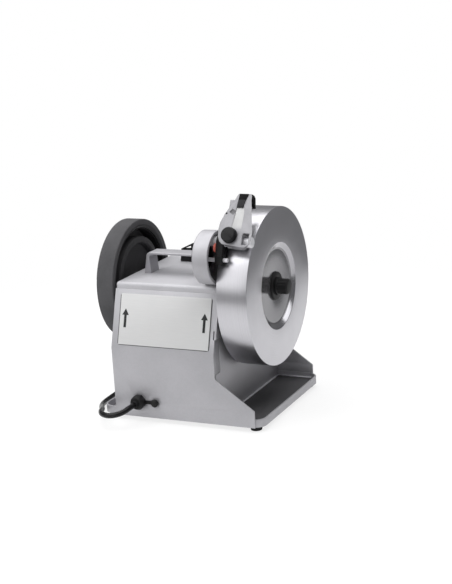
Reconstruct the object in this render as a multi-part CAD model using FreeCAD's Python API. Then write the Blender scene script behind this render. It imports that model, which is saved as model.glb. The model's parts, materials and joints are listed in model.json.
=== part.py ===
import FreeCAD, Part
import math
import os

# Bench knife sharpener. Lengths are in millimetres and angles in degrees.
# X runs along the spindle towards the grinding wheel, Y to the rear and Z up.
# The model is drawn from the lower front corner of the housing, and the last step
# moves it so that the origin lies under the middle of the whole machine.
Vector = FreeCAD.Vector

# Sheet metal housing
sheet = 2.0
base_depth = 195.7
housing_width = 144.2
bend_height = 88.9
shoulder_height = 160.2
shoulder_inset = 23.0
flange_depth = 17.0
flange_foot = 63.0
step_height = 107.0
slot_height = 10.0
slot_width = 1.4
joint_gap = 0.3
tray_reach = 57.6
ledge_reach = 21.0
lip_height = 10.0
tray_corner = 14.0
gusset_gap = 9.0
gusset_low = 21.4
gusset_high = 58.2
lid_height = 8.3
lid_round = 4.0
wall_flange = 11.0
vent_count = 7
vent_width = 3.0
vent_height = 34.0
vent_pitch = 7.0
mat_thickness = 1.5
mat_gap = 0.3
shaft_window = 24.0

# Feet, screws and cable entry
foot_radius = 8.0
foot_height = 6.0
foot_inset = 13.0
screw_radius = 2.0
screw_head_radius = 3.6
screw_head = 2.0
hole_gap = 0.25
gland_x = 34.6
gland_z = 20.3
gland_radius = 9.6
gland_reach = 10.0
gland_thread = 6.0
relief_reach = 5.0
strap_x = 57.2
strap_width = 4.4
button_radius = 5.0

# Switch on the rear panel
switch_x = 44.0
switch_z = 62.0
switch_width = 22.0
switch_height = 30.0
switch_depth = 20.0
rocker_tilt = 15.0

# Name plate and carrying handle
plate_left = 8.5
plate_right_margin = 8.2
plate_low = 4.2
plate_high_margin = 5.8
plate_thickness = 0.8
handle_left = 15.0
handle_right_margin = 36.2
handle_ahead = 24.85
handle_depth = 22.0
handle_rise = 27.5
handle_bar = 3.0
handle_leg = 10.0
handle_lean = 4.9

# Spindle and wheels
spindle_drop = 5.9
shaft_radius = 6.0
running_gap = 0.05
seat_gap = 0.02
bush_radius = 9.0
bush_flange_radius = 11.0
bush_flange = 3.0
wheel_radius = 100.0
wheel_width = 40.0
wheel_gap = 7.3
wheel_rim = 8.0
wheel_web = 7.0
wheel_hub_radius = 18.0
recess_radius = 54.7
recess_floor_radius = 47.7
recess_depth = 4.5
washer_radius = 18.0
washer_thickness = 2.5
knob_radius = 9.9
knob_length = 16.0
honing_radius = 77.8
honing_inner = 69.5
honing_width = 24.0
honing_gap = 3.0
lining_outer = 67.0
lining_inner = 65.0
groove_inner = 55.0
ring_inner = 46.0
ring_recess = 2.0
disc_recess = 10.0
drive_web = 5.0
nut_radius = 10.5

# Motor on its swing pivot
roller_radius = 4.5
roller_gap = 0.04
motor_bearing_angle = 19.35
motor_left = 20.0
motor_room = 48.2
motor_cap = 6.0
motor_radius = 39.0
motor_wall = 1.5
rotor_radius = 20.0
motor_shaft_radius = 3.5
pivot_reach = 77.9
pivot_rise = 2.8
pivot_radius = 4.0
lug_radius = 9.0
bracket_thickness = 3.0
capacitor_radius = 15.0
capacitor_length = 62.0

# Guide support: bracket, dial, arm and rods
guide_rod_radius = 6.0
guide_rod_gap = 11.46
guide_rod_angle = 138.4
guide_lean = 29.0
follower_radius = 21.0
follower_angle = 99.6
follower_pin_radius = 2.0
dial_radius = 33.0
dial_inner = 30.0
dial_lining = 1.5
dial_inset = 16.2
dial_width = 21.0
dial_web = 3.5
journal_radius = 17.0
dial_turn = 60.0
slot_gap = 0.25
link_length = 22.47
link_angle = 247.8
link_rod_radius = 2.5
link_swing = 3.0
arm_gap = 3.0
arm_width = 9.0
arm_head_radius = 8.0
arm_foot_radius = 5.0
pointer_thickness = 1.8
bracket_left = 34.0
bracket_rear_margin = 35.7
bracket_depth = 19.0
bracket_gap = 1.0
bracket_arm = 6.5
bracket_foot = 3.5
bracket_toe = 34.0
bracket_margin = 2.5

# Knife guide, in its own frame: y is depth behind the rod's axis and z is up the jaw
bush_wall = 1.4
carriage_gap = 4.5
carriage_length = 21.5
barrel_radius = 9.4
jaw_overhang = 12.0
jaw_bottom = -6.5
chin_slope = 3.3
side_taper = 0.48
jaw_top = 60.0
grip_depth = 10.2
pad_gap = 0.3
pad_front = 11.6
pin_depth = 11.9
pin_height = 46.0
pin_radius = 1.5
pin_left_inset = -1.0
pin_right_inset = 5.0
pin_proud = 0.6
ear_radius = 2.9
ear_width = 4.8
knuckle_gap = 0.4
knuckle_width = 2.4
chin_depth = 12.0
face_low = 13.0
face_low_depth = 10.5
face_top_depth = 1.2
facet_width = 12.8
facet_waist = 8.4
facet_low = 14.0
facet_cut = 1.0
finger_pad_width = 12.6
finger_pad_drop = 4.0
finger_pad_bed = 1.6
finger_pad_proud = 0.8
arm_clearance = 2.5
spring_wire = 0.35
spring_turns = 3
spring_radius = 2.1
spring_pitch = 1.16
spring_gap = 0.7
spring_front_leg = 2.9
spring_rear_leg = 2.6
rear_front = 15.2
rear_thickness = 3.0
rear_rise = 3.5
rear_pad_thickness = 3.0
rear_pad_width = 13.6
rear_pad_overhang = 3.6
dimple_width = 7.0
dimple_height = 5.8
dimple_depth = 1.2
dimple_turn = 33.0
set_screw_radius = 0.9
lock_inset = 5.0
lock_height = 4.5
lock_radius = 9.7
lock_face = 11.5
lock_length = 7.0
lock_stem = 3.0
rod_overhang = 6.0
collar_radius = 6.5
collar_width = 3.0

# Mains cord
cord_radius = 3.5
coil_x = -6.0
coil_y = 262.0
coil_turns = 2.875
coil_radius = 46.0
coil_pitch = 7.6
layer_pitch = 7.5
plug_width = 35.0
plug_length = 42.0
boot_length = 24.0
pin_spacing = 19.0
plug_pin_radius = 2.4
plug_pin_length = 19.0

# Worked-out places
middle_y = base_depth / 2
lean = math.degrees(math.atan2(shoulder_inset, shoulder_height - bend_height))
lean_length = math.hypot(shoulder_inset, shoulder_height - bend_height)
plate_right = housing_width - plate_right_margin
plate_high = lean_length - plate_high_margin
lid_top = shoulder_height + lid_height
lid_inside = lid_top - sheet
tray_left = -ledge_reach
tray_right = housing_width + tray_reach
left_wall = sheet
lower_right = housing_width - sheet
right_wall = housing_width - 2 * sheet
spindle_y = middle_y
spindle_z = shoulder_height - spindle_drop
wheel_left = housing_width + wheel_gap
wheel_right = wheel_left + wheel_width
recess_x = wheel_right - recess_depth
washer_x = recess_x + washer_thickness
knob_right = washer_x + knob_length
honing_right = -honing_gap
honing_left = honing_right - honing_width
drive_back = honing_left + 1.0
groove_bottom = drive_back + drive_web
ring_face = honing_right - ring_recess
disc_face = honing_right - disc_recess
roller_orbit = lining_inner - roller_radius
motor_y = spindle_y + roller_orbit * math.sin(math.radians(motor_bearing_angle))
motor_z = spindle_z - roller_orbit * math.cos(math.radians(motor_bearing_angle))
motor_right = housing_width - motor_room
pivot_y = motor_y - pivot_reach
pivot_z = motor_z + pivot_rise
rod_orbit = wheel_radius + guide_rod_gap
rod_y = spindle_y + rod_orbit * math.cos(math.radians(guide_rod_angle))
rod_z = spindle_z + rod_orbit * math.sin(math.radians(guide_rod_angle))
dial_y = rod_y - follower_radius * math.cos(math.radians(follower_angle))
dial_z = rod_z - follower_radius * math.sin(math.radians(follower_angle))
link_y = rod_y + link_length * math.cos(math.radians(link_angle))
link_z = rod_z + link_length * math.sin(math.radians(link_angle))
dial_left = housing_width - dial_inset
dial_right = dial_left + dial_width
arm_left = dial_right + arm_gap
arm_right = arm_left + arm_width
carriage_left = arm_right + carriage_gap
carriage_right = carriage_left + carriage_length
jaw_left = carriage_left - jaw_overhang
jaw_right = carriage_right + jaw_overhang
lock_x = carriage_left + lock_inset
pin_left = carriage_left + pin_left_inset
pin_right = carriage_right - pin_right_inset
rod_end = carriage_right + rod_overhang
facet_left = lock_x
rear_back = rear_front + rear_thickness
carriage_bore = guide_rod_radius + running_gap
carriage_radius = carriage_bore + bush_wall
handle_right = housing_width - handle_right_margin
handle_front = middle_y - handle_ahead
handle_top = lid_top + handle_rise
bracket_right = dial_left - bracket_gap
bracket_back = base_depth - bracket_rear_margin
bracket_front = bracket_back - bracket_depth
frame_front = dial_y - dial_radius
frame_back = max(base_depth + screw_head, spindle_y + wheel_radius)


def block(x0, x1, y0, y1, z0, z1):
    return Part.makeBox(x1 - x0, y1 - y0, z1 - z0, Vector(x0, y0, z0))


def round_x(radius, x0, x1, y, z):
    return Part.makeCylinder(radius, x1 - x0, Vector(x0, y, z), Vector(1, 0, 0))


def round_y(radius, y0, y1, x, z):
    return Part.makeCylinder(radius, y1 - y0, Vector(x, y0, z), Vector(0, 1, 0))


def round_z(radius, z0, z1, x, y):
    return Part.makeCylinder(radius, z1 - z0, Vector(x, y, z0), Vector(0, 0, 1))


def ring_x(outer, inner, x0, x1, y, z):
    return round_x(outer, x0, x1, y, z).cut(round_x(inner, x0 - 1, x1 + 1, y, z))


def slab(points, travel):
    wire = Part.makePolygon([Vector(*point) for point in points + points[:1]])
    return Part.Face(wire).extrude(Vector(*travel))


def slab_x(points, x0, x1):
    return slab([(x0, y, z) for y, z in points], (x1 - x0, 0, 0))


def slab_y(points, y0, y1):
    return slab([(x, y0, z) for x, z in points], (0, y1 - y0, 0))


def turned_x(profile, y, z):
    """A piece turned about the line through y, z along X, from points of x and radius."""
    points = [Vector(x, y, z + radius) for x, radius in profile]
    face = Part.Face(Part.makePolygon(points + points[:1]))
    return face.revolve(Vector(0, y, z), Vector(1, 0, 0), 360)


def turned_y(profile, x, z):
    points = [Vector(x + radius, y, z) for y, radius in profile]
    face = Part.Face(Part.makePolygon(points + points[:1]))
    return face.revolve(Vector(x, 0, z), Vector(0, 1, 0), 360)


def round_edges(shape, radius, chosen):
    edges = [edge for edge in shape.Edges if chosen(edge)]
    return shape.makeFillet(radius, edges)


def runs_along(edge, axis):
    if len(edge.Vertexes) != 2:
        return False
    step = edge.Vertexes[1].Point - edge.Vertexes[0].Point
    return abs(step.normalize().dot(axis)) > 0.999


def rounded_plate(x0, x1, y0, y1, z0, z1, radius):
    plate = block(x0, x1, y0, y1, z0, z1)
    return round_edges(plate, radius, lambda edge: runs_along(edge, Vector(0, 0, 1)))


def group(shapes):
    return Part.makeCompound(shapes)


def mirrored(shape):
    return shape.mirror(Vector(0, middle_y, 0), Vector(0, 1, 0))


def on_lean(shape):
    """Moves a piece drawn upright at y = 0 on to the leaning front face."""
    placed = shape.copy()
    placed.rotate(Vector(0, 0, 0), Vector(1, 0, 0), -lean)
    placed.translate(Vector(0, 0, bend_height))
    return placed


def in_guide(shape):
    """Moves a piece drawn in the knife guide's frame to its place on the rod."""
    placed = shape.copy()
    placed.rotate(Vector(0, 0, 0), Vector(1, 0, 0), -guide_lean)
    placed.translate(Vector(0, rod_y, rod_z))
    return placed


def screw_y(x, z, head_y, length):
    """A button head screw whose head stands on the rear face and whose shank runs forward."""
    head = turned_y([(head_y, 0), (head_y, screw_head_radius), (head_y + 0.6 * screw_head, screw_head_radius),
                     (head_y + screw_head, 0.6 * screw_head_radius), (head_y + screw_head, 0)], x, z)
    return head.fuse(round_y(screw_radius, head_y - length, head_y, x, z))


def screw_up(x, y, head_z, length):
    """A pan head screw with its head below head_z and its shank going up."""
    head = round_z(screw_head_radius, head_z - screw_head, head_z, x, y)
    return head.fuse(round_z(screw_radius, head_z, head_z + length, x, y))


def screw_down(x, y, seat_z, length):
    head = round_z(screw_head_radius, seat_z, seat_z + screw_head, x, y)
    return head.fuse(round_z(screw_radius, seat_z - length, seat_z, x, y))


# Housing sheets
def panel_profile():
    """Side outline of the front panel: upright below the bend and leaning back above it."""
    angle = math.radians(lean)
    inner_bend = bend_height - sheet * math.tan(angle / 2)
    inner_top = shoulder_inset + sheet / math.cos(angle)
    outline = [(0, 0), (0, bend_height), (shoulder_inset, shoulder_height),
               (inner_top, shoulder_height), (sheet, inner_bend), (sheet, 0)]
    return outline, inner_bend, inner_top


def bent_panel():
    outline, inner_bend, inner_top = panel_profile()
    panel = slab_x(outline, 0, housing_width)
    panel = panel.cut(block(lower_right, housing_width + 1, -1, base_depth, -1, step_height))
    gusset_right = tray_right - gusset_gap
    gusset = slab_y([(lower_right, 0), (gusset_right, 0), (gusset_right, gusset_low),
                     (lower_right, gusset_high)], 0, sheet)
    flange = [(sheet, flange_foot), (sheet, inner_bend), (inner_top, shoulder_height),
              (shoulder_inset + flange_depth, shoulder_height), (flange_depth, bend_height),
              (flange_depth, flange_foot)]
    panel = panel.fuse(gusset).fuse(slab_x(flange, 0, sheet))
    slot_foot = step_height - joint_gap
    upper_flange = slab_x(flange, lower_right, housing_width)
    upper_flange = upper_flange.cut(block(lower_right, housing_width, -1, base_depth, -1, step_height))
    lower_flange = slab_x(flange, lower_right - sheet, lower_right)
    lower_flange = lower_flange.common(block(0, lower_right, -1, base_depth, -1, slot_foot))
    panel = panel.fuse(upper_flange).fuse(lower_flange)
    slot = block(lower_right - sheet, lower_right - sheet + slot_width, -1, flange_depth - sheet,
                 slot_foot, step_height + slot_height)
    return panel.cut(slot)


def lower_flange_room():
    """The space in the right side wall's plane that the panel's lower flange takes up."""
    depth = flange_depth + joint_gap
    step_depth = depth + (step_height - bend_height) * math.tan(math.radians(lean))
    return slab_x([(0, flange_foot - joint_gap), (0, step_height + joint_gap),
                   (step_depth, step_height + joint_gap), (depth, bend_height),
                   (depth, flange_foot - joint_gap)], lower_right - sheet - 1, housing_width)


def front_panel():
    panel = bent_panel()
    panel = panel.cut(round_y(gland_thread + hole_gap, -1, sheet + 1, gland_x, gland_z))
    panel = panel.cut(round_y(screw_radius + hole_gap, -1, sheet + 1, strap_x, gland_z))
    return panel.removeSplitter()


def rear_screw_points():
    return [(x, z) for x in wall_flange_columns() for z in (2.5 * lip_height, flange_foot - lip_height)]


def wall_flange_columns():
    """Where along X the middles of the two side walls' flanges are."""
    return left_wall + sheet + wall_flange / 2, right_wall - wall_flange / 2


def rear_panel():
    panel = mirrored(bent_panel())
    panel = panel.cut(block(switch_x - switch_width / 2 - hole_gap, switch_x + switch_width / 2 + hole_gap,
                            base_depth - sheet - 1, base_depth + 1,
                            switch_z - switch_height / 2 - hole_gap, switch_z + switch_height / 2 + hole_gap))
    for index in range(vent_count):
        x = housing_width / 2 + vent_pitch * index
        panel = panel.cut(block(x, x + vent_width, base_depth - sheet - 1, base_depth + 1,
                                switch_z - vent_height / 2, switch_z + vent_height / 2))
    for x, z in rear_screw_points():
        panel = panel.cut(round_y(screw_radius + hole_gap, base_depth - sheet - 1, base_depth + 1, x, z))
    return panel.removeSplitter()


def side_wall(at_left):
    """A side wall with flanges bent inwards at the foot and at the rear."""
    outline, inner_bend, inner_top = panel_profile()
    shelf = shoulder_inset + 2 * sheet
    half = [(2 * sheet, sheet), (2 * sheet, inner_bend), (inner_top + 0.5, shoulder_height - 0.5),
            (shelf, shoulder_height + 0.2), (shelf, lid_inside - 0.2)]
    outline = half + [(base_depth - y, z) for y, z in reversed(half)]
    x0 = left_wall if at_left else right_wall
    wall = slab_x(outline, x0, x0 + sheet)
    inner = (x0 + sheet, x0 + sheet + wall_flange) if at_left else (x0 - wall_flange, x0)
    wall = wall.fuse(block(inner[0], inner[1], 10 * sheet, base_depth - 10 * sheet, sheet, 2 * sheet))
    wall = wall.fuse(block(min(x0, inner[0]), max(x0 + sheet, inner[1]), base_depth - 2 * sheet,
                           base_depth - sheet, lip_height + 1, flange_foot - 1))
    wall = wall.cut(round_x(bush_radius + seat_gap, x0 - 1, x0 + sheet + 1, spindle_y, spindle_z))
    if at_left:
        half = shaft_window / 2
        wall = wall.cut(block(x0 - 1, x0 + sheet + 1, motor_y - half, motor_y + half,
                              motor_z - half, motor_z + half))
    else:
        wall = wall.cut(lower_flange_room()).cut(mirrored(lower_flange_room()))
    for x, z in rear_screw_points():
        wall = wall.cut(round_y(screw_radius + seat_gap, base_depth - 3 * sheet, base_depth, x, z))
    for x, y in wall_screw_points():
        wall = wall.cut(round_z(screw_radius + seat_gap, 0, 3 * sheet, x, y))
    return wall.removeSplitter()


def wall_screw_points():
    return [(x, y) for x in wall_flange_columns() for y in (0.25 * base_depth, 0.75 * base_depth)]


def foot_points():
    columns = (tray_left + foot_inset, tray_right - foot_inset)
    return [(x, y) for x in columns for y in (foot_inset, base_depth - foot_inset)]


def base_tray():
    outer = rounded_plate(tray_left, tray_right, sheet, base_depth - sheet, 0, lip_height, tray_corner)
    inner = rounded_plate(tray_left + sheet, tray_right - sheet, 2 * sheet, base_depth - 2 * sheet,
                          sheet, lip_height + 1, tray_corner - sheet)
    tray = outer.cut(inner)
    for x, y in foot_points() + wall_screw_points():
        tray = tray.cut(round_z(screw_radius + hole_gap, -1, sheet + 1, x, y))
    return tray


def top_cover():
    cover = block(0, housing_width, shoulder_inset, base_depth - shoulder_inset, shoulder_height, lid_top)
    cover = round_edges(cover, lid_round, lambda edge: edge.BoundBox.ZMax > shoulder_height + 1)
    cover = cover.cut(block(sheet, housing_width - sheet, shoulder_inset + sheet,
                            base_depth - shoulder_inset - sheet, shoulder_height - 1, lid_inside))
    tunnel = round_x(bush_flange_radius + 1, -1, housing_width + 1, spindle_y, spindle_z)
    tunnel = tunnel.common(block(-1, housing_width + 1, 0, base_depth, 0, lid_inside))
    cover = cover.cut(tunnel)
    for x, y in handle_screw_points() + bracket_screw_points():
        cover = cover.cut(round_z(screw_radius + hole_gap, lid_inside - 1, lid_top + 1, x, y))
    return cover


def tray_mat():
    """A mat that fills the tray's floor beside the housing."""
    left = right_wall + sheet + mat_gap
    mat = block(left, tray_right - sheet - mat_gap, 2 * sheet + mat_gap, base_depth - 2 * sheet - mat_gap,
                sheet, sheet + mat_thickness)
    return round_edges(mat, tray_corner - sheet - mat_gap,
                       lambda edge: runs_along(edge, Vector(0, 0, 1)) and edge.BoundBox.XMin > left + 1)


def rubber_feet():
    feet = []
    for x, y in foot_points():
        foot = Part.makeCone(foot_radius - 1, foot_radius, foot_height, Vector(x, y, -foot_height))
        foot = foot.cut(round_z(screw_head_radius + hole_gap, -foot_height - 1, -foot_height + 3, x, y))
        feet.append(foot.cut(round_z(screw_radius + seat_gap, -foot_height, 1, x, y)))
    return group(feet)


def housing_screws():
    """All the screws of the feet, walls, handle and bracket, of one thread."""
    feet = [screw_up(x, y, -foot_height + 3, foot_height - 3 + sheet - 0.2) for x, y in foot_points()]
    walls = [screw_up(x, y, 0, 2 * sheet + 2) for x, y in wall_screw_points()]
    rear = [screw_y(x, z, base_depth, 2 * sheet + 2) for x, z in rear_screw_points()]
    handle = [screw_up(x, y, lid_inside, sheet + 5) for x, y in handle_screw_points()]
    bracket = [screw_down(x, y, lid_top + bracket_foot, bracket_foot + sheet + 2)
               for x, y in bracket_screw_points()]
    return group(feet + walls + rear + handle + bracket)


# Name plate and handle
def name_plate():
    plate = block(plate_left, plate_right, -plate_thickness, 0, plate_low, plate_high)
    plate = round_edges(plate, 3.0, lambda edge: runs_along(edge, Vector(0, 1, 0)))
    return on_lean(plate)


def handle_screw_points():
    y = handle_front + handle_depth / 2
    return [(handle_left + handle_leg / 2, y), (handle_right - handle_leg / 2, y)]


def carry_handle():
    """A flat bar on two legs that grow thicker towards the lid."""
    under = handle_top - handle_bar
    outer_left = handle_left + handle_lean
    outer_right = handle_right - handle_lean
    outer = slab_y([(handle_left, lid_top), (outer_left, handle_top), (outer_right, handle_top),
                    (handle_right, lid_top)], handle_front, handle_front + handle_depth)
    outer = round_edges(outer, 6.0, lambda edge: runs_along(edge, Vector(0, 1, 0))
                        and edge.BoundBox.ZMin > under)
    inner = slab_y([(handle_left + handle_leg, lid_top - 1), (outer_left + handle_bar, under),
                    (outer_right - handle_bar, under), (handle_right - handle_leg, lid_top - 1)],
                   handle_front - 1, handle_front + handle_depth + 1)
    inner = round_edges(inner, 4.0, lambda edge: runs_along(edge, Vector(0, 1, 0))
                        and edge.BoundBox.ZMin > under - 1)
    handle = outer.cut(inner)
    handle = round_edges(handle, 0.8, lambda edge: edge.BoundBox.YLength < 0.01
                         and edge.BoundBox.ZMax > lid_top + 1)
    for x, y in handle_screw_points():
        handle = handle.cut(round_z(screw_radius + seat_gap, lid_top - 1, lid_top + 7, x, y))
    return handle


# Cable entry and switch
def cord_gland():
    """An eight-sided gland nut outside and its threaded barrel through the front panel."""
    corners = [(gland_x + gland_radius * math.cos(math.radians(22.5 + 45 * step)),
                gland_z + gland_radius * math.sin(math.radians(22.5 + 45 * step))) for step in range(8)]
    nut = slab_y(corners, -gland_reach, 0)
    dome = Part.makeCone(gland_radius - 2.2, gland_radius + 3, gland_reach,
                         Vector(gland_x, -gland_reach, gland_z), Vector(0, 1, 0))
    nut = nut.common(dome)
    gland = nut.fuse(round_y(gland_thread, 0, sheet + 9, gland_x, gland_z))
    gland = gland.cut(round_y(cord_radius + 0.9, -gland_reach - 1, sheet + 10, gland_x, gland_z))
    return group([gland, gland_nut()])


def gland_nut():
    corners = [(gland_x + gland_radius * math.cos(math.radians(60 * step)),
                gland_z + gland_radius * math.sin(math.radians(60 * step))) for step in range(6)]
    nut = slab_y(corners, 2 * sheet + hole_gap, 2 * sheet + 5)
    nut = nut.fuse(round_y(gland_radius - 1.5, sheet, 2 * sheet + hole_gap, gland_x, gland_z))
    return nut.cut(round_y(gland_thread + seat_gap, 0, sheet + 12, gland_x, gland_z))


def strain_relief():
    """A tapered sleeve on the cord where it leaves the gland."""
    root = cord_radius + 0.9 - seat_gap
    tip = cord_radius + 0.5
    mouth = -gland_reach - relief_reach
    bore = cord_radius + seat_gap
    sleeve = turned_y([(mouth, bore), (mouth, tip), (-gland_reach, root), (sheet + 9, root),
                       (sheet + 9, bore)], gland_x, gland_z)
    for index in range(2):
        y = -gland_reach - 2.0 * (index + 1)
        groove = round_y(root + 1, y, y + 0.7, gland_x, gland_z)
        sleeve = sleeve.cut(groove.cut(round_y(cord_radius + 0.3, y - 1, y + 2, gland_x, gland_z)))
    return sleeve


def gland_strap():
    """A flat strap from a collar round the gland to the button beside it."""
    strap = block(gland_x + gland_radius - 1.2, strap_x, -1.6, 0, gland_z - strap_width / 2,
                  gland_z + strap_width / 2)
    strap = strap.fuse(round_y(button_radius - 0.8, -1.6, 0, strap_x, gland_z))
    strap = strap.cut(round_y(gland_radius + 0.1, -3, 1, gland_x, gland_z))
    strap = strap.cut(round_y(screw_radius + seat_gap, -3, 1, strap_x, gland_z))
    return group([strap, strap_button()])


def strap_button():
    head = turned_y([(-1.6, 0), (-1.6, button_radius), (-3.2, button_radius), (-4.4, 0.6 * button_radius),
                     (-4.4, 0)], strap_x, gland_z)
    return head.fuse(round_y(screw_radius, -1.6, sheet + 3, strap_x, gland_z))


def switch_housing():
    low = switch_z - switch_height / 2
    high = switch_z + switch_height / 2
    left = switch_x - switch_width / 2
    right = switch_x + switch_width / 2
    case = block(left, right, base_depth - switch_depth, base_depth, low, high)
    bezel = block(left - 2, right + 2, base_depth, base_depth + 1.8, low - 2, high + 2)
    bezel = round_edges(bezel, 1.5, lambda edge: runs_along(edge, Vector(0, 1, 0)))
    case = case.fuse(bezel)
    well = block(left + 2, right - 2, base_depth - switch_depth + 6, base_depth + 3, low + 2, high - 2)
    tabs = [block(switch_x + side - 1, switch_x + side + 1, base_depth - switch_depth - 6,
                  base_depth - switch_depth, switch_z - 4, switch_z + 4) for side in (-5, 5)]
    for tab in tabs:
        case = case.fuse(tab)
    pin_room = round_x(1.2 + running_gap, left + 0.9, right - 0.9, rocker_axis(), switch_z)
    return case.cut(well).cut(pin_room)


def rocker_axis():
    return base_depth - 3.0


def switch_rocker():
    """A rocker whose two faces meet at a shallow angle over its trunnions."""
    half = switch_height / 2 - 3.2
    y = rocker_axis()
    outline = [(y - 4, switch_z - half * 0.55), (y + 2.6, switch_z - half), (y + 3, switch_z),
               (y + 2.6, switch_z + half), (y - 4, switch_z + half * 0.55)]
    rocker = slab_x(outline, switch_x - switch_width / 2 + 2.4, switch_x + switch_width / 2 - 2.4)
    trunnion = round_x(1.2, switch_x - switch_width / 2 + 1, switch_x + switch_width / 2 - 1, y, switch_z)
    rocker = rocker.fuse(trunnion)
    rocker.rotate(Vector(0, y, switch_z), Vector(1, 0, 0), rocker_tilt / 2)
    return rocker


# Spindle
def spindle_bush(at_left):
    y, z = spindle_y, spindle_z
    if at_left:
        body = round_x(bush_radius, left_wall - 0.8, left_wall + sheet, y, z)
        flange = round_x(bush_flange_radius, left_wall + sheet, left_wall + sheet + bush_flange, y, z)
    else:
        body = round_x(bush_radius, right_wall, right_wall + sheet + 0.8, y, z)
        flange = round_x(bush_flange_radius, right_wall - bush_flange, right_wall, y, z)
    return body.fuse(flange).cut(round_x(shaft_radius + running_gap, -10, housing_width + 10, y, z))


def spindle_bushes():
    return group([spindle_bush(True), spindle_bush(False)])


def drive_shaft():
    y, z = spindle_y, spindle_z
    left = drive_back + 0.6
    right = knob_right - 4
    return turned_x([(left, 0), (left, shaft_radius - 1), (left + 1, shaft_radius), (right - 1, shaft_radius),
                     (right, shaft_radius - 1), (right, 0)], y, z)


def shaft_collars():
    """Two collars clamped on the shaft inside the bushes, which hold it lengthways."""
    inside_left = left_wall + sheet + bush_flange + 0.3
    inside_right = right_wall - bush_flange - 0.3
    rings = [(inside_left, inside_left + 8), (inside_right - 8, inside_right)]
    return group([ring_x(bush_flange_radius - 1, shaft_radius + seat_gap, x0, x1, spindle_y, spindle_z)
                  for x0, x1 in rings])


def grinding_wheel():
    """A steel wheel, turned hollow from its inner side, with a shallow recess on its face."""
    inner_face = recess_x - wheel_web
    bore = shaft_radius + seat_gap
    profile = [(wheel_left, bore), (wheel_left, wheel_hub_radius), (inner_face, wheel_hub_radius + 2),
               (inner_face, wheel_radius - wheel_rim - 4), (inner_face - 4, wheel_radius - wheel_rim),
               (wheel_left, wheel_radius - wheel_rim), (wheel_left, wheel_radius - 0.8),
               (wheel_left + 0.8, wheel_radius), (wheel_right - 0.8, wheel_radius),
               (wheel_right, wheel_radius - 0.8), (wheel_right, recess_radius),
               (recess_x, recess_floor_radius), (recess_x, bore)]
    return turned_x(profile, spindle_y, spindle_z)


def inner_flange():
    """The seat that the grinding wheel is pressed against."""
    start = right_wall + sheet + 0.8 + 0.5
    bore = shaft_radius + seat_gap
    return turned_x([(start, bore), (start, bush_radius), (wheel_left - 3, bush_radius),
                     (wheel_left - 3, wheel_hub_radius), (wheel_left, wheel_hub_radius), (wheel_left, bore)],
                    spindle_y, spindle_z)


def flange_washer():
    bore = shaft_radius + seat_gap
    return turned_x([(recess_x, bore), (recess_x, washer_radius), (washer_x - 0.8, washer_radius),
                     (washer_x, washer_radius - 1.2), (washer_x, bore)], spindle_y, spindle_z)


def wheel_knob():
    """A round nut with grip flutes and a chamfered end."""
    bore = shaft_radius + running_gap
    knob = turned_x([(washer_x + 0.1, bore), (washer_x + 0.1, knob_radius + 1.5),
                     (washer_x + 2, knob_radius + 1.5), (washer_x + 3, knob_radius),
                     (knob_right - 2, knob_radius), (knob_right, knob_radius - 2), (knob_right, 0),
                     (knob_right - 3.5, 0), (knob_right - 3.5, bore)], spindle_y, spindle_z)
    for index in range(12):
        angle = math.radians(30 * index)
        y = spindle_y + (knob_radius + 0.9) * math.cos(angle)
        z = spindle_z + (knob_radius + 0.9) * math.sin(angle)
        knob = knob.cut(round_x(1.5, washer_x + 3, knob_right + 1, y, z))
    return knob


def drive_wheel():
    """The wheel that the motor drives: its groove opens towards the housing."""
    hub_end = left_wall - 0.8 - 0.4
    bore = shaft_radius + seat_gap
    profile = [(drive_back + 5, bore), (drive_back + 5, nut_radius + 3), (drive_back, nut_radius + 4),
               (drive_back, honing_inner - 0.5), (honing_left, honing_inner - 0.5),
               (honing_left, honing_inner), (honing_right, honing_inner),
               (ring_face - 0.1, lining_outer - 0.4), (ring_face - 0.1, lining_outer),
               (groove_bottom, lining_outer), (groove_bottom, groove_inner),
               (ring_face - 1, groove_inner), (ring_face, groove_inner - 1.5),
               (ring_face, ring_inner + 2), (ring_face - 2, ring_inner),
               (disc_face, ring_inner - 1), (disc_face, bush_radius), (hub_end, bush_radius), (hub_end, bore)]
    return turned_x(profile, spindle_y, spindle_z)


def friction_ring():
    return ring_x(lining_outer - seat_gap, lining_inner, groove_bottom + 0.1, ring_face - 1.5,
                  spindle_y, spindle_z)


def honing_wheel():
    outer = honing_radius
    inner = honing_inner + seat_gap
    return turned_x([(honing_left, inner), (honing_left, outer - 1.5), (honing_left + 1.5, outer),
                     (honing_right - 1.5, outer), (honing_right, outer - 1.5), (honing_right, inner)],
                    spindle_y, spindle_z)


def hub_nut():
    corners = [(spindle_y + nut_radius * math.cos(math.radians(60 * step)),
                spindle_z + nut_radius * math.sin(math.radians(60 * step))) for step in range(6)]
    nut = slab_x(corners, drive_back - 0.8, drive_back + 5)
    return nut.cut(round_x(shaft_radius + seat_gap, drive_back, drive_back + 9, spindle_y, spindle_z))


# Motor
def drive_roller():
    start = groove_bottom + 2
    return ring_x(roller_radius - roller_gap, motor_shaft_radius + seat_gap, start, ring_face,
                  motor_y, motor_z)


def motor_rotor():
    y, z = motor_y, motor_z
    start = groove_bottom + 2
    rotor = round_x(motor_shaft_radius, start, motor_right + 6, y, z)
    core_left = motor_left + motor_cap + 14
    core = round_x(rotor_radius, core_left, motor_right - motor_cap - 14, y, z)
    return group([rotor.fuse(core), motor_fan()])


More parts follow.
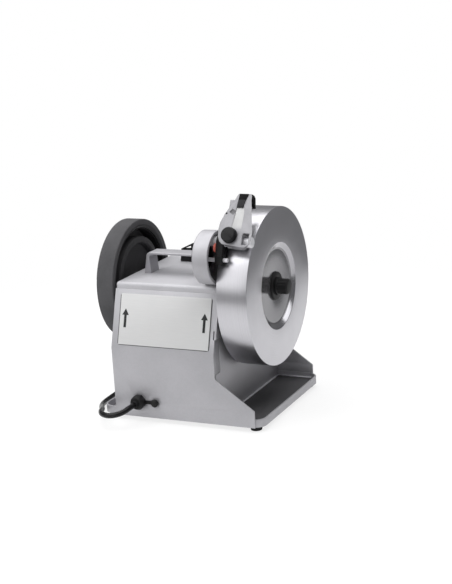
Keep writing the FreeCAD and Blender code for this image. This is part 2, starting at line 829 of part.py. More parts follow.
def motor_fan():
    """A flat fan on the rotor between the housing wall and the motor."""
    y, z = motor_y, motor_z
    x0 = left_wall + sheet + 5
    fan = ring_x(6.5, motor_shaft_radius + seat_gap, x0, x0 + 7, y, z)
    fan = fan.fuse(ring_x(26, motor_shaft_radius + seat_gap, x0, x0 + 1.5, y, z))
    for index in range(8):
        blade = block(x0 + 1, x0 + 7, y + 6, y + 25, z - 0.75, z + 0.75)
        blade.rotate(Vector(0, y, z), Vector(1, 0, 0), 45 * index)
        fan = fan.fuse(blade)
    return fan


def motor_casing():
    return ring_x(motor_radius, motor_radius - motor_wall, motor_left + motor_cap, motor_right - motor_cap,
                  motor_y, motor_z)


def motor_end_cap(x0):
    """An end cap with its bearing seat and the lug that hangs it on the pivot pin."""
    y, z = motor_y, motor_z
    x1 = x0 + motor_cap
    reach = math.hypot(motor_y - pivot_y, motor_z - pivot_z)
    slope = math.degrees(math.atan2(pivot_z - motor_z, motor_y - pivot_y))
    lug = block(x0, x1, y - reach, y, z - lug_radius, z + lug_radius)
    lug.rotate(Vector(0, y, z), Vector(1, 0, 0), -slope)
    cap = round_x(motor_radius, x0, x1, y, z).fuse(lug)
    cap = cap.fuse(round_x(lug_radius, x0, x1, pivot_y, pivot_z))
    cap = cap.cut(round_x(pivot_radius + running_gap, x0 - 1, x1 + 1, pivot_y, pivot_z))
    for index in range(6):
        angle = math.radians(60 * index + 90)
        cap = cap.cut(round_x(5, x0 - 1, x1 + 1, y + 26 * math.cos(angle), z + 26 * math.sin(angle)))
    return cap.cut(round_x(9.5 + seat_gap, x0 - 1, x1 + 1, y, z))


def motor_end_caps():
    return group([motor_end_cap(motor_left), motor_end_cap(motor_right - motor_cap)])


def motor_bearings():
    rings = []
    for x0 in (motor_left, motor_right - motor_cap):
        outer = ring_x(9.5, 7.4, x0, x0 + motor_cap, motor_y, motor_z)
        inner = ring_x(5.6, motor_shaft_radius + running_gap, x0, x0 + motor_cap, motor_y, motor_z)
        web = ring_x(7.4, 5.6, x0 + 1, x0 + motor_cap - 1, motor_y, motor_z)
        rings.append(outer.fuse(inner).fuse(web))
    return group(rings)


def motor_stator():
    """The laminated iron ring round the rotor, with slots for its windings."""
    y, z = motor_y, motor_z
    x0 = motor_left + motor_cap + 12
    x1 = motor_right - motor_cap - 12
    iron = ring_x(motor_radius - motor_wall - seat_gap, rotor_radius + 0.4, x0, x1, y, z)
    for index in range(12):
        slot = block(x0 - 1, x1 + 1, y + rotor_radius + 3, y + rotor_radius + 11, z - 2, z + 2)
        slot.rotate(Vector(0, y, z), Vector(1, 0, 0), 30 * index)
        iron = iron.cut(slot)
    return iron


def motor_windings():
    y, z = motor_y, motor_z
    x0 = motor_left + motor_cap + 12
    x1 = motor_right - motor_cap - 12
    inner = rotor_radius + 3.2
    outer = rotor_radius + 10.8
    coil = ring_x(outer, inner, x0 - 9, x0 - 0.1, y, z).fuse(ring_x(outer, inner, x1 + 0.1, x1 + 9, y, z))
    for index in range(12):
        bar = block(x0 - 1, x1 + 1, y + inner, y + outer, z - 1.8, z + 1.8)
        bar.rotate(Vector(0, y, z), Vector(1, 0, 0), 30 * index)
        coil = coil.fuse(bar)
    return coil


def cheek_places():
    left = motor_left - bracket_thickness - 1
    right = motor_right + 1
    return left, right


def motor_bracket():
    left, right = cheek_places()
    bracket = block(left, right + bracket_thickness, pivot_y - 12, pivot_y + 12,
                    sheet, sheet + bracket_thickness)
    for x0 in (left, right):
        cheek = slab_x([(pivot_y - 12, sheet), (pivot_y + 12, sheet), (pivot_y + 7, pivot_z),
                        (pivot_y - 7, pivot_z)], x0, x0 + bracket_thickness)
        cheek = cheek.fuse(round_x(7, x0, x0 + bracket_thickness, pivot_y, pivot_z))
        bracket = bracket.fuse(cheek)
    return bracket.cut(round_x(pivot_radius + seat_gap, left - 1, right + 9, pivot_y, pivot_z))


def motor_pivot_pin():
    left, right = cheek_places()
    pin = round_x(pivot_radius, left - 1, right + bracket_thickness + 1, pivot_y, pivot_z)
    return pin.fuse(round_x(pivot_radius + 2, left - 3, left - 0.1, pivot_y, pivot_z))


def capacitor():
    x = housing_width - 24
    z0 = 2 * sheet
    can = round_z(capacitor_radius, z0 + 3, z0 + capacitor_length, x, pivot_y)
    clip = rounded_plate(x - 17, x + 5, pivot_y - 14, pivot_y + 14, sheet, z0 + 3, 3)
    return can.fuse(clip)


# Guide support
def bracket_screw_points():
    y = bracket_front + 12.5
    side_x = (bracket_right + housing_width - bracket_margin) / 2
    return [(bracket_left + 10, y), ((bracket_left + bracket_right) / 2, y), (side_x, y),
            (side_x, bracket_toe + 28)]


def guide_bracket():
    """A cast bracket: foot on the lid, upright rib, and an arm forward to the dial's journal."""
    rib_top = lid_top + 29.0
    left = bracket_left
    right = bracket_right
    foot = block(left - 1, right, bracket_front, bracket_back, lid_top, lid_top + bracket_foot)
    rib = slab_y([(left - 1, lid_top), (left + 1, lid_top + 17.5), (left + 16, lid_top + 24.5),
                  (left + 30, rib_top), (right, rib_top), (right, lid_top)], bracket_front, bracket_front + 5)
    window = slab_y([(left + 5, lid_top + 17.6), (left + 15.5, lid_top + 21.7),
                     (left + 15.5, lid_top + 18.2)], bracket_front - 1, bracket_front + 6)
    arm_left_x = right - bracket_arm
    side_foot = block(arm_left_x, housing_width - bracket_margin, bracket_toe, bracket_back,
                      lid_top, lid_top + bracket_foot)
    upright = slab_x([(bracket_toe, lid_top), (bracket_back, lid_top), (bracket_back, lid_top + 18),
                      (bracket_front - 2, rib_top), (dial_y, dial_z + 14), (dial_y - 8, dial_z - 13)],
                     arm_left_x, right)
    hub = round_x(journal_radius, arm_left_x, right, dial_y, dial_z)
    journal = round_x(journal_radius, right, dial_left + dial_web + 0.1, dial_y, dial_z)
    nose = round_x(journal_radius - 2, right, dial_left + dial_web + 2.0, dial_y, dial_z)
    bracket = foot.fuse(rib.cut(window)).fuse(side_foot).fuse(upright).fuse(hub).fuse(journal).fuse(nose)
    bracket = bracket.cut(round_x(link_rod_radius + seat_gap, arm_left_x - 1, dial_right, link_y, link_z))
    for x, y in bracket_screw_points():
        bracket = bracket.cut(round_z(screw_radius + hole_gap, lid_top - 1, lid_top + bracket_foot + 1, x, y))
        bracket = bracket.cut(round_z(screw_head_radius + hole_gap, lid_top + bracket_foot,
                                      lid_top + bracket_foot + screw_head + 20, x, y))
    return bracket


def link_rod():
    """The thin rod that stands out of the journal and carries the arm."""
    rod = round_x(link_rod_radius, bracket_right - bracket_arm, arm_right + 6, link_y, link_z)
    return round_edges(rod, 0.6, lambda edge: edge.BoundBox.XMin > arm_right + 5)


def follower_place(swing):
    """Where the follower pin stands when the arm has swung by that angle about the thin rod."""
    angle = math.radians(swing)
    dy = rod_y - link_y
    dz = rod_z - link_z
    y = link_y + dy * math.cos(angle) - dz * math.sin(angle)
    z = link_z + dy * math.sin(angle) + dz * math.cos(angle)
    return y, z


def slot_point(swing):
    """The follower's place for that swing, carried back into the dial at rest."""
    y, z = follower_place(swing)
    turn = math.radians(-swing * dial_turn / link_swing)
    dy = y - dial_y
    dz = z - dial_z
    return Vector(dial_left, dial_y + dy * math.cos(turn) - dz * math.sin(turn),
                  dial_z + dy * math.sin(turn) + dz * math.cos(turn))


def scroll_slot():
    """An arc slot, a little off centre, that moves the follower pin as the dial turns."""
    half = follower_pin_radius + slot_gap
    edge = Part.Arc(slot_point(-link_swing * 1.04), slot_point(0), slot_point(link_swing * 1.04)).toShape()
    centre = edge.Curve.Center
    radius = edge.Curve.Radius
    cutter = ring_x(radius + half, radius - half, dial_left - 1, dial_left + dial_web + 1, centre.y, centre.z)
    ends = [edge.Vertexes[0].Point, edge.Vertexes[1].Point]
    spread = [math.degrees(math.atan2(point.z - centre.z, point.y - centre.y)) for point in ends]
    low = min(spread)
    high = max(spread)
    wedge_points = [(centre.y, centre.z)]
    steps = 8
    for step in range(steps + 1):
        angle = math.radians(low + (high - low) * step / steps)
        wedge_points.append((centre.y + 2 * dial_radius * math.cos(angle),
                             centre.z + 2 * dial_radius * math.sin(angle)))
    wedge = slab_x(wedge_points, dial_left - 1, dial_left + dial_web + 1)
    slot = cutter.common(wedge)
    for point in ends:
        slot = slot.fuse(round_x(half, dial_left - 1, dial_left + dial_web + 1, point.y, point.z))
    return slot


def dial_drum():
    """A silver cup that turns on the journal: its web carries the scroll slot."""
    y, z = dial_y, dial_z
    bore = journal_radius + running_gap
    profile = [(dial_left, bore), (dial_left, dial_radius - 1.5), (dial_left + 1.5, dial_radius),
               (dial_right - 0.6, dial_radius), (dial_right, dial_radius - 0.6), (dial_right, dial_inner),
               (dial_left + dial_web, dial_inner), (dial_left + dial_web, bore)]
    return turned_x(profile, y, z).cut(scroll_slot())


def dial_scale_ring():
    return ring_x(dial_inner - seat_gap, dial_inner - dial_lining, dial_left + dial_web + 0.1,
                  dial_right - 0.5, dial_y, dial_z)


def dial_keeper():
    """The keeper ring on the journal's nose."""
    x0 = dial_left + dial_web + 0.2
    return ring_x(journal_radius + 1, journal_radius - 2 + seat_gap, x0, x0 + 1.6, dial_y, dial_z)


def guide_arm():
    """The link between the thin rod and the guide rod."""
    head = round_x(arm_head_radius, arm_left, arm_right, rod_y, rod_z)
    foot = round_x(arm_foot_radius, arm_left, arm_right, link_y, link_z)
    angle = math.radians(link_angle)
    along = (math.cos(angle), math.sin(angle))
    taper = math.asin((arm_head_radius - arm_foot_radius) / link_length)
    points = []
    for side in (1, -1):
        normal = angle + side * (math.pi / 2 - taper)
        step = (math.cos(normal), math.sin(normal))
        head_point = (rod_y + arm_head_radius * step[0], rod_z + arm_head_radius * step[1])
        foot_point = (link_y + arm_foot_radius * step[0], link_z + arm_foot_radius * step[1])
        points += [head_point, foot_point] if side > 0 else [foot_point, head_point]
    shank = slab_x(points, arm_left, arm_right)
    toe = block(arm_left, arm_right, link_y - 6.5, link_y + 0.5, link_z - 4.5, link_z + 7 * along[1] * -1)
    arm = head.fuse(foot).fuse(shank).fuse(toe)
    arm = arm.cut(round_x(guide_rod_radius + seat_gap, arm_left - 1, arm_right + 1, rod_y, rod_z))
    return arm.cut(round_x(link_rod_radius + running_gap, arm_left - 1, arm_right + 1, link_y, link_z))


def guide_rod():
    left = dial_left + dial_web + 3.0
    rod = round_x(guide_rod_radius, left, rod_end, rod_y, rod_z)
    rod = rod.fuse(round_x(follower_pin_radius, dial_left + 0.3, left, rod_y, rod_z))
    return rod.cut(round_x(2.05, rod_end - 7, rod_end + 1, rod_y, rod_z))


def arm_pointer():
    """A red drop-shaped pointer on the arm's side, beside the dial."""
    y = rod_y - 7.5
    z = rod_z - 6.3
    drop = round_x(5.5, arm_left - pointer_thickness, arm_left, y, z)
    left = arm_left - pointer_thickness
    tip = slab_x([(y - 4.8, z - 2.7), (y + 5.5, z - 0.2), (y + 3.5, z - 9.5)], left, arm_left)
    flag = block(left, arm_left, y, y + 8, z - 5, z + 3)
    pointer = drop.fuse(tip).fuse(flag)
    return pointer.cut(round_x(guide_rod_radius + seat_gap, dial_right, arm_right, rod_y, rod_z))


def rod_end_cap():
    cap = round_x(collar_radius, rod_end, rod_end + collar_width, rod_y, rod_z)
    cap = round_edges(cap, 0.8, lambda edge: edge.BoundBox.XMin > rod_end + 1)
    return cap.fuse(round_x(2.0, rod_end - 6, rod_end, rod_y, rod_z))


# Knife guide
def guide_carriage():
    return in_guide(ring_x(carriage_radius, carriage_bore, carriage_left, carriage_right, 0, 0))


def jaw_left_side():
    """Left side of the clamp seen from ahead, upwards from its foot, as points of x and height."""
    steps = [(9, jaw_bottom), (5, jaw_bottom + 3), (2, jaw_bottom + 9.5), (0.5, jaw_top - 48),
             (0.5, jaw_top - 39), (3.7, jaw_top - 27.6), (7.3, jaw_top - 19.7), (11.6, jaw_top - 10.7),
             (14.5, jaw_top - 2), (16, jaw_top)]
    return [(jaw_left + step, height) for step, height in steps]


def jaw_right_side():
    """Right side of the clamp, downwards from its top."""
    return [(jaw_right - 14, jaw_top), (jaw_right - 12.4, jaw_top - 2), (jaw_right - 11.4, jaw_top - 9),
            (jaw_right - 7.4, jaw_top - 24), (jaw_right - 1.8, jaw_top - 45), (jaw_right, jaw_top - 51),
            (jaw_right, jaw_bottom + 2), (jaw_right - 3, jaw_bottom - chin_slope + 2),
            (jaw_right - 7, jaw_bottom - chin_slope)]


def jaw_side_room():
    """The room left of the clamp's right side, which tapers inwards to the rear."""
    face = -chin_depth - 1
    right = [(x + side_taper * (face_depth(min(z, jaw_top)) - face), z) for x, z in jaw_right_side()]
    far_left = jaw_left - 40
    points = [(far_left, jaw_top + 5), (right[0][0], jaw_top + 5)] + right
    points += [(right[-1][0], jaw_bottom - 2 * chin_slope), (far_left, jaw_bottom - 2 * chin_slope)]
    depth = grip_depth + chin_depth + 4
    return slab([(x, face, z) for x, z in points], (-side_taper * depth, depth, 0))


def face_depth(height):
    """Depth of the front jaw's sloping face at that height."""
    slope = (face_low_depth - face_top_depth) / (jaw_top - face_low)
    return -face_top_depth - slope * (jaw_top - height)


def front_jaw():
    """The clamp's front half: it swivels on the carriage and holds the lock knob."""
    body = slab_y(jaw_left_side() + jaw_right_side(), -chin_depth - 1, grip_depth)
    foot = jaw_bottom - 2 * chin_slope
    side = [(-chin_depth, foot), (-chin_depth, 3), (-face_low_depth, face_low),
            (-face_top_depth, jaw_top), (0.6, jaw_top + 1), (grip_depth, jaw_top + 1),
            (grip_depth, 7), (barrel_radius, 4.5), (barrel_radius, -barrel_radius), (0, foot)]
    body = body.common(slab_x(side, jaw_left - 1, jaw_right + 1)).common(jaw_side_room())
    body = body.cut(block(jaw_left - 1, jaw_right + 1, 0, 20, jaw_bottom - 5, 6)
                    .cut(round_x(barrel_radius, jaw_left - 2, jaw_right + 2, 0, 0)
                         .fuse(block(jaw_left - 2, jaw_right + 2, -1, barrel_radius - 1, 3, 7))))
    arm_room = arm_right + arm_clearance
    body = body.cut(block(jaw_left - 1, arm_room, -9.2, 12, jaw_bottom - 6, 9.7))
    body = body.cut(slab_x([(-9.2, -0.6), (-11.7, jaw_bottom + 2), (-11.7, jaw_bottom - 6),
                            (-8, jaw_bottom - 6), (-8, -0.6)], jaw_left - 1, arm_room))
    body = body.cut(round_x(carriage_radius + running_gap, jaw_left - 2, jaw_right + 2, 0, 0))
    notch = block(carriage_right, jaw_right - 3.5, -14, 12, -6.5, 8)
    body = body.cut(notch)
    body = body.cut(block(carriage_right, jaw_right + 1, -3.0, 12, -10, 8))
    facet = slab_x([(-chin_depth - 1, facet_low - 4), (face_depth(facet_low) + facet_cut / 2, facet_low),
                    (face_depth(pin_height) + facet_cut, pin_height), (-chin_depth - 1, pin_height)],
                   facet_left, facet_left + facet_width)
    body = body.cut(facet.common(facet_front()))
    body = body.cut(slab_x(front_pad_side(), jaw_left, jaw_right).common(front_pad_front(0)))
    body = body.cut(jaw_dimple())
    body = body.cut(round_y(set_screw_radius, face_depth(33) - 5, face_depth(33) + 3, jaw_left + 6, 33.4))
    body = body.cut(block(pin_left + ear_width, pin_right - ear_width, pin_depth - ear_radius - 0.5, 20,
                          pin_height - 5, pin_height + 5))
    for x0, x1 in ((pin_left, pin_left + ear_width), (pin_right - ear_width, pin_right)):
        ear = round_x(ear_radius, x0, x1, pin_depth, pin_height)
        ear = ear.fuse(block(x0, x1, grip_depth - 1, pin_depth, pin_height - ear_radius,
                             pin_height + ear_radius))
        body = body.fuse(ear)
    body = body.cut(round_x(pin_radius + seat_gap, pin_left - 1, pin_right + 1, pin_depth, pin_height))
    body = body.cut(round_y(lock_stem + running_gap, -14, 0, lock_x, lock_height))
    return in_guide(body)


def front_pad_side():
    """Side outline of the finger pad's bed on the sloping front face."""
    low = pin_height - finger_pad_drop
    return [(face_depth(low) - 3, low), (face_depth(low) + finger_pad_bed, low),
            (finger_pad_bed - face_top_depth, jaw_top + 1), (-face_top_depth - 2, jaw_top + 1)]


def facet_front():
    """Front outline of the bright facet: upright at its left, and wider towards its foot."""
    right = facet_left + facet_waist
    return slab_y([(facet_left, 0), (facet_left + facet_width, 0), (facet_left + facet_width, facet_low),
                   (right + 3.4, pin_height - 12.6), (right + 0.4, pin_height), (facet_left, pin_height)],
                  -chin_depth - 2, grip_depth)


def front_pad_front(gap):
    """Front outline of the finger pad: upright at its left, and wider towards its top."""
    low = pin_height - finger_pad_drop
    left = facet_left + gap
    right = facet_left + facet_waist - gap
    return slab_y([(left, low - 1), (right, low - 1), (right, low), (right + 1.3, low + 9),
                   (facet_left + finger_pad_width - gap, jaw_top + 2), (left, jaw_top + 2)],
                  -chin_depth - 2, grip_depth)


def front_pad():
    """A rubber finger pad let into the front jaw and standing a little proud of it."""
    low = pin_height - finger_pad_drop + 0.1
    high = jaw_top - 0.1
    outer = slab_x([(face_depth(low) - finger_pad_proud, low), (6, low), (6, high),
                    (-face_top_depth - finger_pad_proud, high)], jaw_left, jaw_right)
    bed = slab_x(front_pad_side(), jaw_left, jaw_right)
    return in_guide(bed.common(front_pad_front(seat_gap)).common(outer))


def jaw_dimple():
    """A shallow turned square pocket in the jaw's face, at the upper left."""
    x = facet_left - 3.4
    z = pin_height - 10.2
    floor = face_depth(z) + dimple_depth
    pocket = block(x - dimple_width / 2, x + dimple_width / 2, floor - 6, floor,
                   z - dimple_height / 2, z + dimple_height / 2)
    pocket.rotate(Vector(x, 0, z), Vector(0, 1, 0), dimple_turn)
    return pocket


def front_grip():
    return in_guide(block(jaw_left + 7.5, pin_right + 1, grip_depth, pad_front,
                          pin_height - 32, pin_height - 8))


def rear_grip():
    return in_guide(block(jaw_left + 9.5, pin_right - 3, pad_front + pad_gap, rear_front,
                          pin_height - 15, pin_height - 4.5))


def rear_plate():
    """The rear jaw's plate, whose left edge shows beyond the front jaw."""
    low = pin_height - 16
    high = jaw_top + rear_rise
    left = jaw_left - 2.5
    right = pin_right - 1.5
    plate = slab_x([(rear_front, low), (rear_back - 1.7, low), (rear_back, low + 6), (rear_back, high),
                    (rear_front, high)], left, right)
    front_shape = slab_y([(left + 7, low), (right, low), (right, pin_height), (right - 3, high),
                          (left + 21, high), (left + 16, jaw_top - 2.8), (left, jaw_top - 2.8),
                          (left, pin_height)], 0, rear_back + 1)
    return plate.common(front_shape)


def rear_jaw():
    """The clamp's rear half: a plate on a knuckle round the jaw pin."""
    knuckle_left = pin_left + ear_width + knuckle_gap
    knuckle_right = knuckle_left + knuckle_width
    knuckle = round_x(ear_radius, knuckle_left, knuckle_right, pin_depth, pin_height)
    knuckle = knuckle.fuse(block(knuckle_left, knuckle_right, pin_depth, rear_front + 1,
                                 pin_height - 2, pin_height + 2))
    jaw = rear_plate().fuse(knuckle)
    return in_guide(jaw.cut(round_x(pin_radius + running_gap, pin_left, pin_right, pin_depth, pin_height)))


def rear_pad():
    """A rubber thumb pad over the back and the right edge of the rear plate's upper end."""
    high = jaw_top + rear_rise + 1.2
    right = pin_right - 1.5 + rear_pad_overhang
    left = right - rear_pad_width
    back = rear_back + rear_pad_thickness
    pad = slab_y([(left, pin_height + 2), (right, pin_height + 2), (right - 2.2, high - 3.5),
                  (right - 4.4, high), (left, high)], rear_front, back)
    pad = round_edges(pad, 1.2, lambda edge: edge.BoundBox.YMin > rear_back + 1)
    return in_guide(pad.cut(rear_plate()))


def jaw_pin():
    pin = round_x(pin_radius, pin_left - pin_proud, pin_right + pin_proud, pin_depth, pin_height)
    return in_guide(pin)


def lock_knob():
    """A fluted knob whose stem reaches the carriage through the front jaw."""
    end = -lock_face - lock_length
    knob = turned_y([(-lock_face - 0.6, 0), (-lock_face - 0.6, lock_radius), (end + 1.2, lock_radius - 0.5),
                     (end, lock_radius - 1.8), (end, 0)], lock_x, lock_height)
    for index in range(18):
        angle = math.radians(20 * index)
        x = lock_x + (lock_radius + 0.1) * math.cos(angle)
        z = lock_height + (lock_radius + 0.1) * math.sin(angle)
        knob = knob.cut(round_y(0.8, end - 1, -lock_face - 2.2, x, z))
    stem = round_y(lock_stem, -lock_face - 0.6, -carriage_radius - 0.1, lock_x, lock_height)
    return in_guide(knob.fuse(stem))


# Biarcs for wound tubes
def arc_from(start, tangent, end):
    """An arc that leaves start along tangent and ends at end."""
    chord = end - start
    length = chord.Length
    unit = Vector(chord).normalize()
    cosine = max(-1.0, min(1.0, unit.dot(tangent)))
    if cosine > 0.9999999:
        return Part.LineSegment(start, end).toShape()
    side = tangent - unit * cosine
    side.normalize()
    sagitta = length / 2 * math.tan(math.acos(cosine) / 2)
    return Part.Arc(start, start + chord * 0.5 + side * sagitta, end).toShape()


def biarc(p0, t0, p1, t1):
    chord = p1 - p0
    total = t0 + t1
    spread = 2 * (1 - t0.dot(t1))
    along = chord.dot(total)
    if spread < 1e-9:
        reach = chord.dot(chord) / (2 * along)
    else:
        reach = (-along + math.sqrt(along * along + spread * chord.dot(chord))) / spread
    middle = (p0 + t0 * reach + p1 - t1 * reach) * 0.5
    joint = (p1 - t1 * reach - p0 - t0 * reach).normalize()
    return [arc_from(p0, t0, middle), arc_from(middle, joint, p1)]


def wound_wire(place, start, end, steps):
    """Biarcs through the curve place(t), a quarter turn each."""
    delta = 1e-5
    edges = []
    for index in range(steps):
        a = start + (end - start) * index / steps
        b = start + (end - start) * (index + 1) / steps
        tangent_a = (place(a + delta) - place(a - delta)).normalize()
        tangent_b = (place(b + delta) - place(b - delta)).normalize()
        edges += biarc(place(a), tangent_a, place(b), tangent_b)
    return edges


def tube_along(edges, radius):
    wire = Part.Wire(edges)
    first = edges[0]
    start = first.valueAt(first.FirstParameter)
    tangent = first.tangentAt(first.FirstParameter)
    section = Part.Wire([Part.makeCircle(radius, start, tangent)])
    return wire.makePipeShell([section], True, False)


def least_gap(place, start, end, turn, radius):
    """Least distance between stretches of the curve that lie more than half a turn apart."""
    count = 400
    points = [place(start + (end - start) * index / count) for index in range(count + 1)]
    skip = int(count * turn / 2 / (end - start)) + 1
    least = 1e9
    for index, point in enumerate(points):
        for other in points[index + skip:]:
            least = min(least, point.distanceToPoint(other))
    return least - 2 * radius


def jaw_spring():
    """A torsion spring round the jaw pin, whose legs press the two jaws together."""
    left = pin_left + ear_width + knuckle_gap + knuckle_width + spring_gap

    def place(turns):
        angle = math.radians(360 * turns - 90)
        return Vector(left + spring_pitch * turns, pin_depth + spring_radius * math.cos(angle),
                      pin_height + spring_radius * math.sin(angle))

    edges = wound_wire(place, 0, spring_turns, 4 * spring_turns)
    start = place(0)
    end = place(spring_turns)
    tangent_start = (place(1e-5) - place(-1e-5)).normalize()
    tangent_end = (place(spring_turns + 1e-5) - place(spring_turns - 1e-5)).normalize()
    edges.insert(0, Part.LineSegment(start - tangent_start * spring_front_leg, start).toShape())
    edges.append(Part.LineSegment(end, end + tangent_end * spring_rear_leg).toShape())
    print("jaw spring least gap", round(least_gap(place, 0, spring_turns, 1, spring_wire), 3))
    return in_guide(tube_along(edges, spring_wire))


# Mains cord
cord_floor = -foot_height + cord_radius
cord_points = [
    (34.6, 4.0, 20.3), (34.6, -22.0, 20.3), (27.8, -35.2, 15.4), (13.6, -40.2, 12.2), (-1.0, -34.6, 10.4),
    (-10.4, -20.6, 7.0), (-18.2, -3.4, 2.6), (-30.8, 14.8, -0.8), (-41.7, 37.5, cord_floor),
    (-44.5, 66.7, cord_floor), (-45.5, 100.0, cord_floor), (-50.0, 136.0, cord_floor),
    (-56.0, 174.0, cord_floor), (-57.0, 214.0, cord_floor)]


def spiral_place(turns):
    """The coil's centre line: in on the lower layer, up in half a turn, and out on the upper one."""
    climb = 0.5
    if turns <= coil_turns:
        inward = turns
        height = 0.0
    elif turns <= coil_turns + climb:
        share = (turns - coil_turns) / climb
        inward = coil_turns + climb * share * (1 - share)
        height = layer_pitch * (3 * share ** 2 - 2 * share ** 3)
    else:
        inward = 2 * coil_turns + climb - turns
        height = layer_pitch
    radius = coil_radius - coil_pitch * inward
    angle = math.radians(180 - 360 * turns)
    return Vector(coil_x + radius * math.cos(angle), coil_y + radius * math.sin(angle), cord_floor + height)


def coil_ends():
    total = 2 * coil_turns + 0.5
    start = spiral_place(0)
    end = spiral_place(total)
    tangent_start = (spiral_place(1e-5) - spiral_place(0)).normalize()
    tangent_end = (spiral_place(total) - spiral_place(total - 1e-5)).normalize()
    lead_in = start - tangent_start * 2 * cord_radius
    lead_out = end + tangent_end * 2 * cord_radius
    return total, start, end, tangent_start, tangent_end, lead_in, lead_out


def cord_coil():
    total, start, end, tangent_start, tangent_end, lead_in, lead_out = coil_ends()

    def smooth_place(turns):
        if turns < 0:
            return start + tangent_start * (turns * 2 * math.pi * coil_radius)
        if turns > total:
            return end + tangent_end * ((turns - total) * 2 * math.pi * coil_radius)
        return spiral_place(turns)

    edges = wound_wire(smooth_place, 0, total, int(4 * total))
    edges.insert(0, Part.LineSegment(lead_in, start).toShape())
    edges.append(Part.LineSegment(end, lead_out).toShape())
    length = sum(edge.Length for edge in edges)
    gap = least_gap(spiral_place, 0, total, 1, cord_radius)
    print("coil length", round(length, 1), "least gap", round(gap, 3))
    return tube_along(edges, cord_radius)


def rounded_path(points):
    """Straight runs joined by tangent arcs as large as the runs allow."""
    edges = []
    radii = []
    last = points[0]
    for before, corner, after in zip(points, points[1:], points[2:]):
        into = (corner - before)
        away = (after - corner)
        run = min(into.Length, away.Length)
        into.normalize()
        away.normalize()
        turn = math.acos(max(-1.0, min(1.0, into.dot(away))))
        radius = 0.45 * run / math.tan(turn / 2)
        trim = 0.45 * run
        enter = corner - into * trim
        leave = corner + away * trim
        inward = (away - into).normalize()
        depth = radius / math.cos(turn / 2) - radius
        edges.append(Part.LineSegment(last, enter).toShape())
        edges.append(Part.Arc(enter, corner + inward * depth, leave).toShape())
        radii.append(radius)
        last = leave
    edges.append(Part.LineSegment(last, points[-1]).toShape())
    return edges, radii


def cord_lead():
    lead_in = coil_ends()[5]
    points = [Vector(*point) for point in cord_points] + [lead_in]
    edges, radii = rounded_path(points)
    length = sum(edge.Length for edge in edges)
    tube = tube_along(edges, cord_radius)
    print("cord radii", [round(radius, 1) for radius in radii])
    print("lead length", round(length, 1), "volume ratio",
          round(tube.Volume / (math.pi * cord_radius ** 2 * length), 4))
    return tube


def in_plug(shape):
    """Moves a piece drawn along +X from the cord's end on to the cord's far end."""
    lead_out = coil_ends()[6]
    tangent = coil_ends()[4]
    placed = shape.copy()
    placed.rotate(Vector(0, 0, 0), Vector(0, 0, 1), math.degrees(math.atan2(tangent.y, tangent.x)))
    placed.translate(lead_out)
    return placed


def plug_height():
    return coil_ends()[6].z + foot_height


def plug_body():
    """A moulded two-pin plug with waisted sides and a tapered cord sleeve."""
    boot = boot_length
    half = plug_height() - 0.02
    sleeve = Part.makeCone(cord_radius + 0.8, cord_radius + 3.5, boot + 2, Vector(0, 0, 0), Vector(1, 0, 0))
    shoulder = boot + 0.35 * plug_length
    tip = boot + plug_length
    side = [(boot, 8), (shoulder, 0.42 * plug_width), (tip, plug_width / 2)]
    outline = [(x, y, -half) for x, y in side] + [(x, -y, -half) for x, y in reversed(side)]
    body = slab(outline, (0, 0, 2 * half))
    body = round_edges(body, 4.0, lambda edge: runs_along(edge, Vector(0, 0, 1))
                       and edge.BoundBox.XMin > boot + 1)
    return in_plug(body.fuse(sleeve))


def plug_pins():
    face = boot_length + plug_length
    pins = []
    for side in (-1, 1):
        pin = round_x(plug_pin_radius, face, face + plug_pin_length, side * pin_spacing / 2, 0)
        pins.append(round_edges(pin, 1.6, lambda edge: edge.BoundBox.XMin > face + 1))
    return in_plug(group(pins))


PIECES = {
    "base_tray": base_tray, "front_panel": front_panel, "rear_panel": rear_panel,
    "left_side_wall": lambda: side_wall(True), "right_side_wall": lambda: side_wall(False),
    "top_cover": top_cover, "tray_mat": tray_mat, "rubber_feet": rubber_feet,
    "housing_screws": housing_screws, "name_plate": name_plate, "carry_handle": carry_handle,
    "cord_gland": cord_gland, "strain_relief": strain_relief, "gland_strap": gland_strap,
    "switch_housing": switch_housing, "switch_rocker": switch_rocker, "spindle_bushes": spindle_bushes,
    "drive_shaft": drive_shaft, "shaft_collars": shaft_collars, "grinding_wheel": grinding_wheel,
    "inner_flange": inner_flange, "flange_washer": flange_washer, "wheel_knob": wheel_knob,
    "drive_wheel": drive_wheel, "friction_ring": friction_ring, "honing_wheel": honing_wheel,
    "hub_nut": hub_nut, "drive_roller": drive_roller, "motor_rotor": motor_rotor,
    "motor_casing": motor_casing, "motor_end_caps": motor_end_caps, "motor_bearings": motor_bearings,
    "motor_stator": motor_stator, "motor_windings": motor_windings, "motor_bracket": motor_bracket,
    "motor_pivot_pin": motor_pivot_pin, "capacitor": capacitor, "guide_bracket": guide_bracket,
    "link_rod": link_rod, "dial_drum": dial_drum, "dial_scale_ring": dial_scale_ring,
    "dial_keeper": dial_keeper, "guide_arm": guide_arm, "guide_rod": guide_rod,
    "arm_pointer": arm_pointer, "rod_end_cap": rod_end_cap, "guide_carriage": guide_carriage,
    "front_jaw": front_jaw, "front_pad": front_pad, "front_grip": front_grip, "rear_jaw": rear_jaw,
    "rear_grip": rear_grip, "rear_pad": rear_pad, "jaw_pin": jaw_pin, "jaw_spring": jaw_spring,
    "lock_knob": lock_knob, "cord_lead": cord_lead, "cord_coil": cord_coil, "plug_body": plug_body,
    "plug_pins": plug_pins,
}

origin = Vector((honing_left + knob_right) / 2, (frame_front + frame_back) / 2, -foot_height)
os.makedirs("parts", exist_ok=True)
for node, make in PIECES.items():
    piece = make()
    piece.translate(origin * -1)
    piece.exportStep("parts/" + node + ".step")
print("pieces", len(PIECES), "origin", origin)
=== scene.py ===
import json
import math

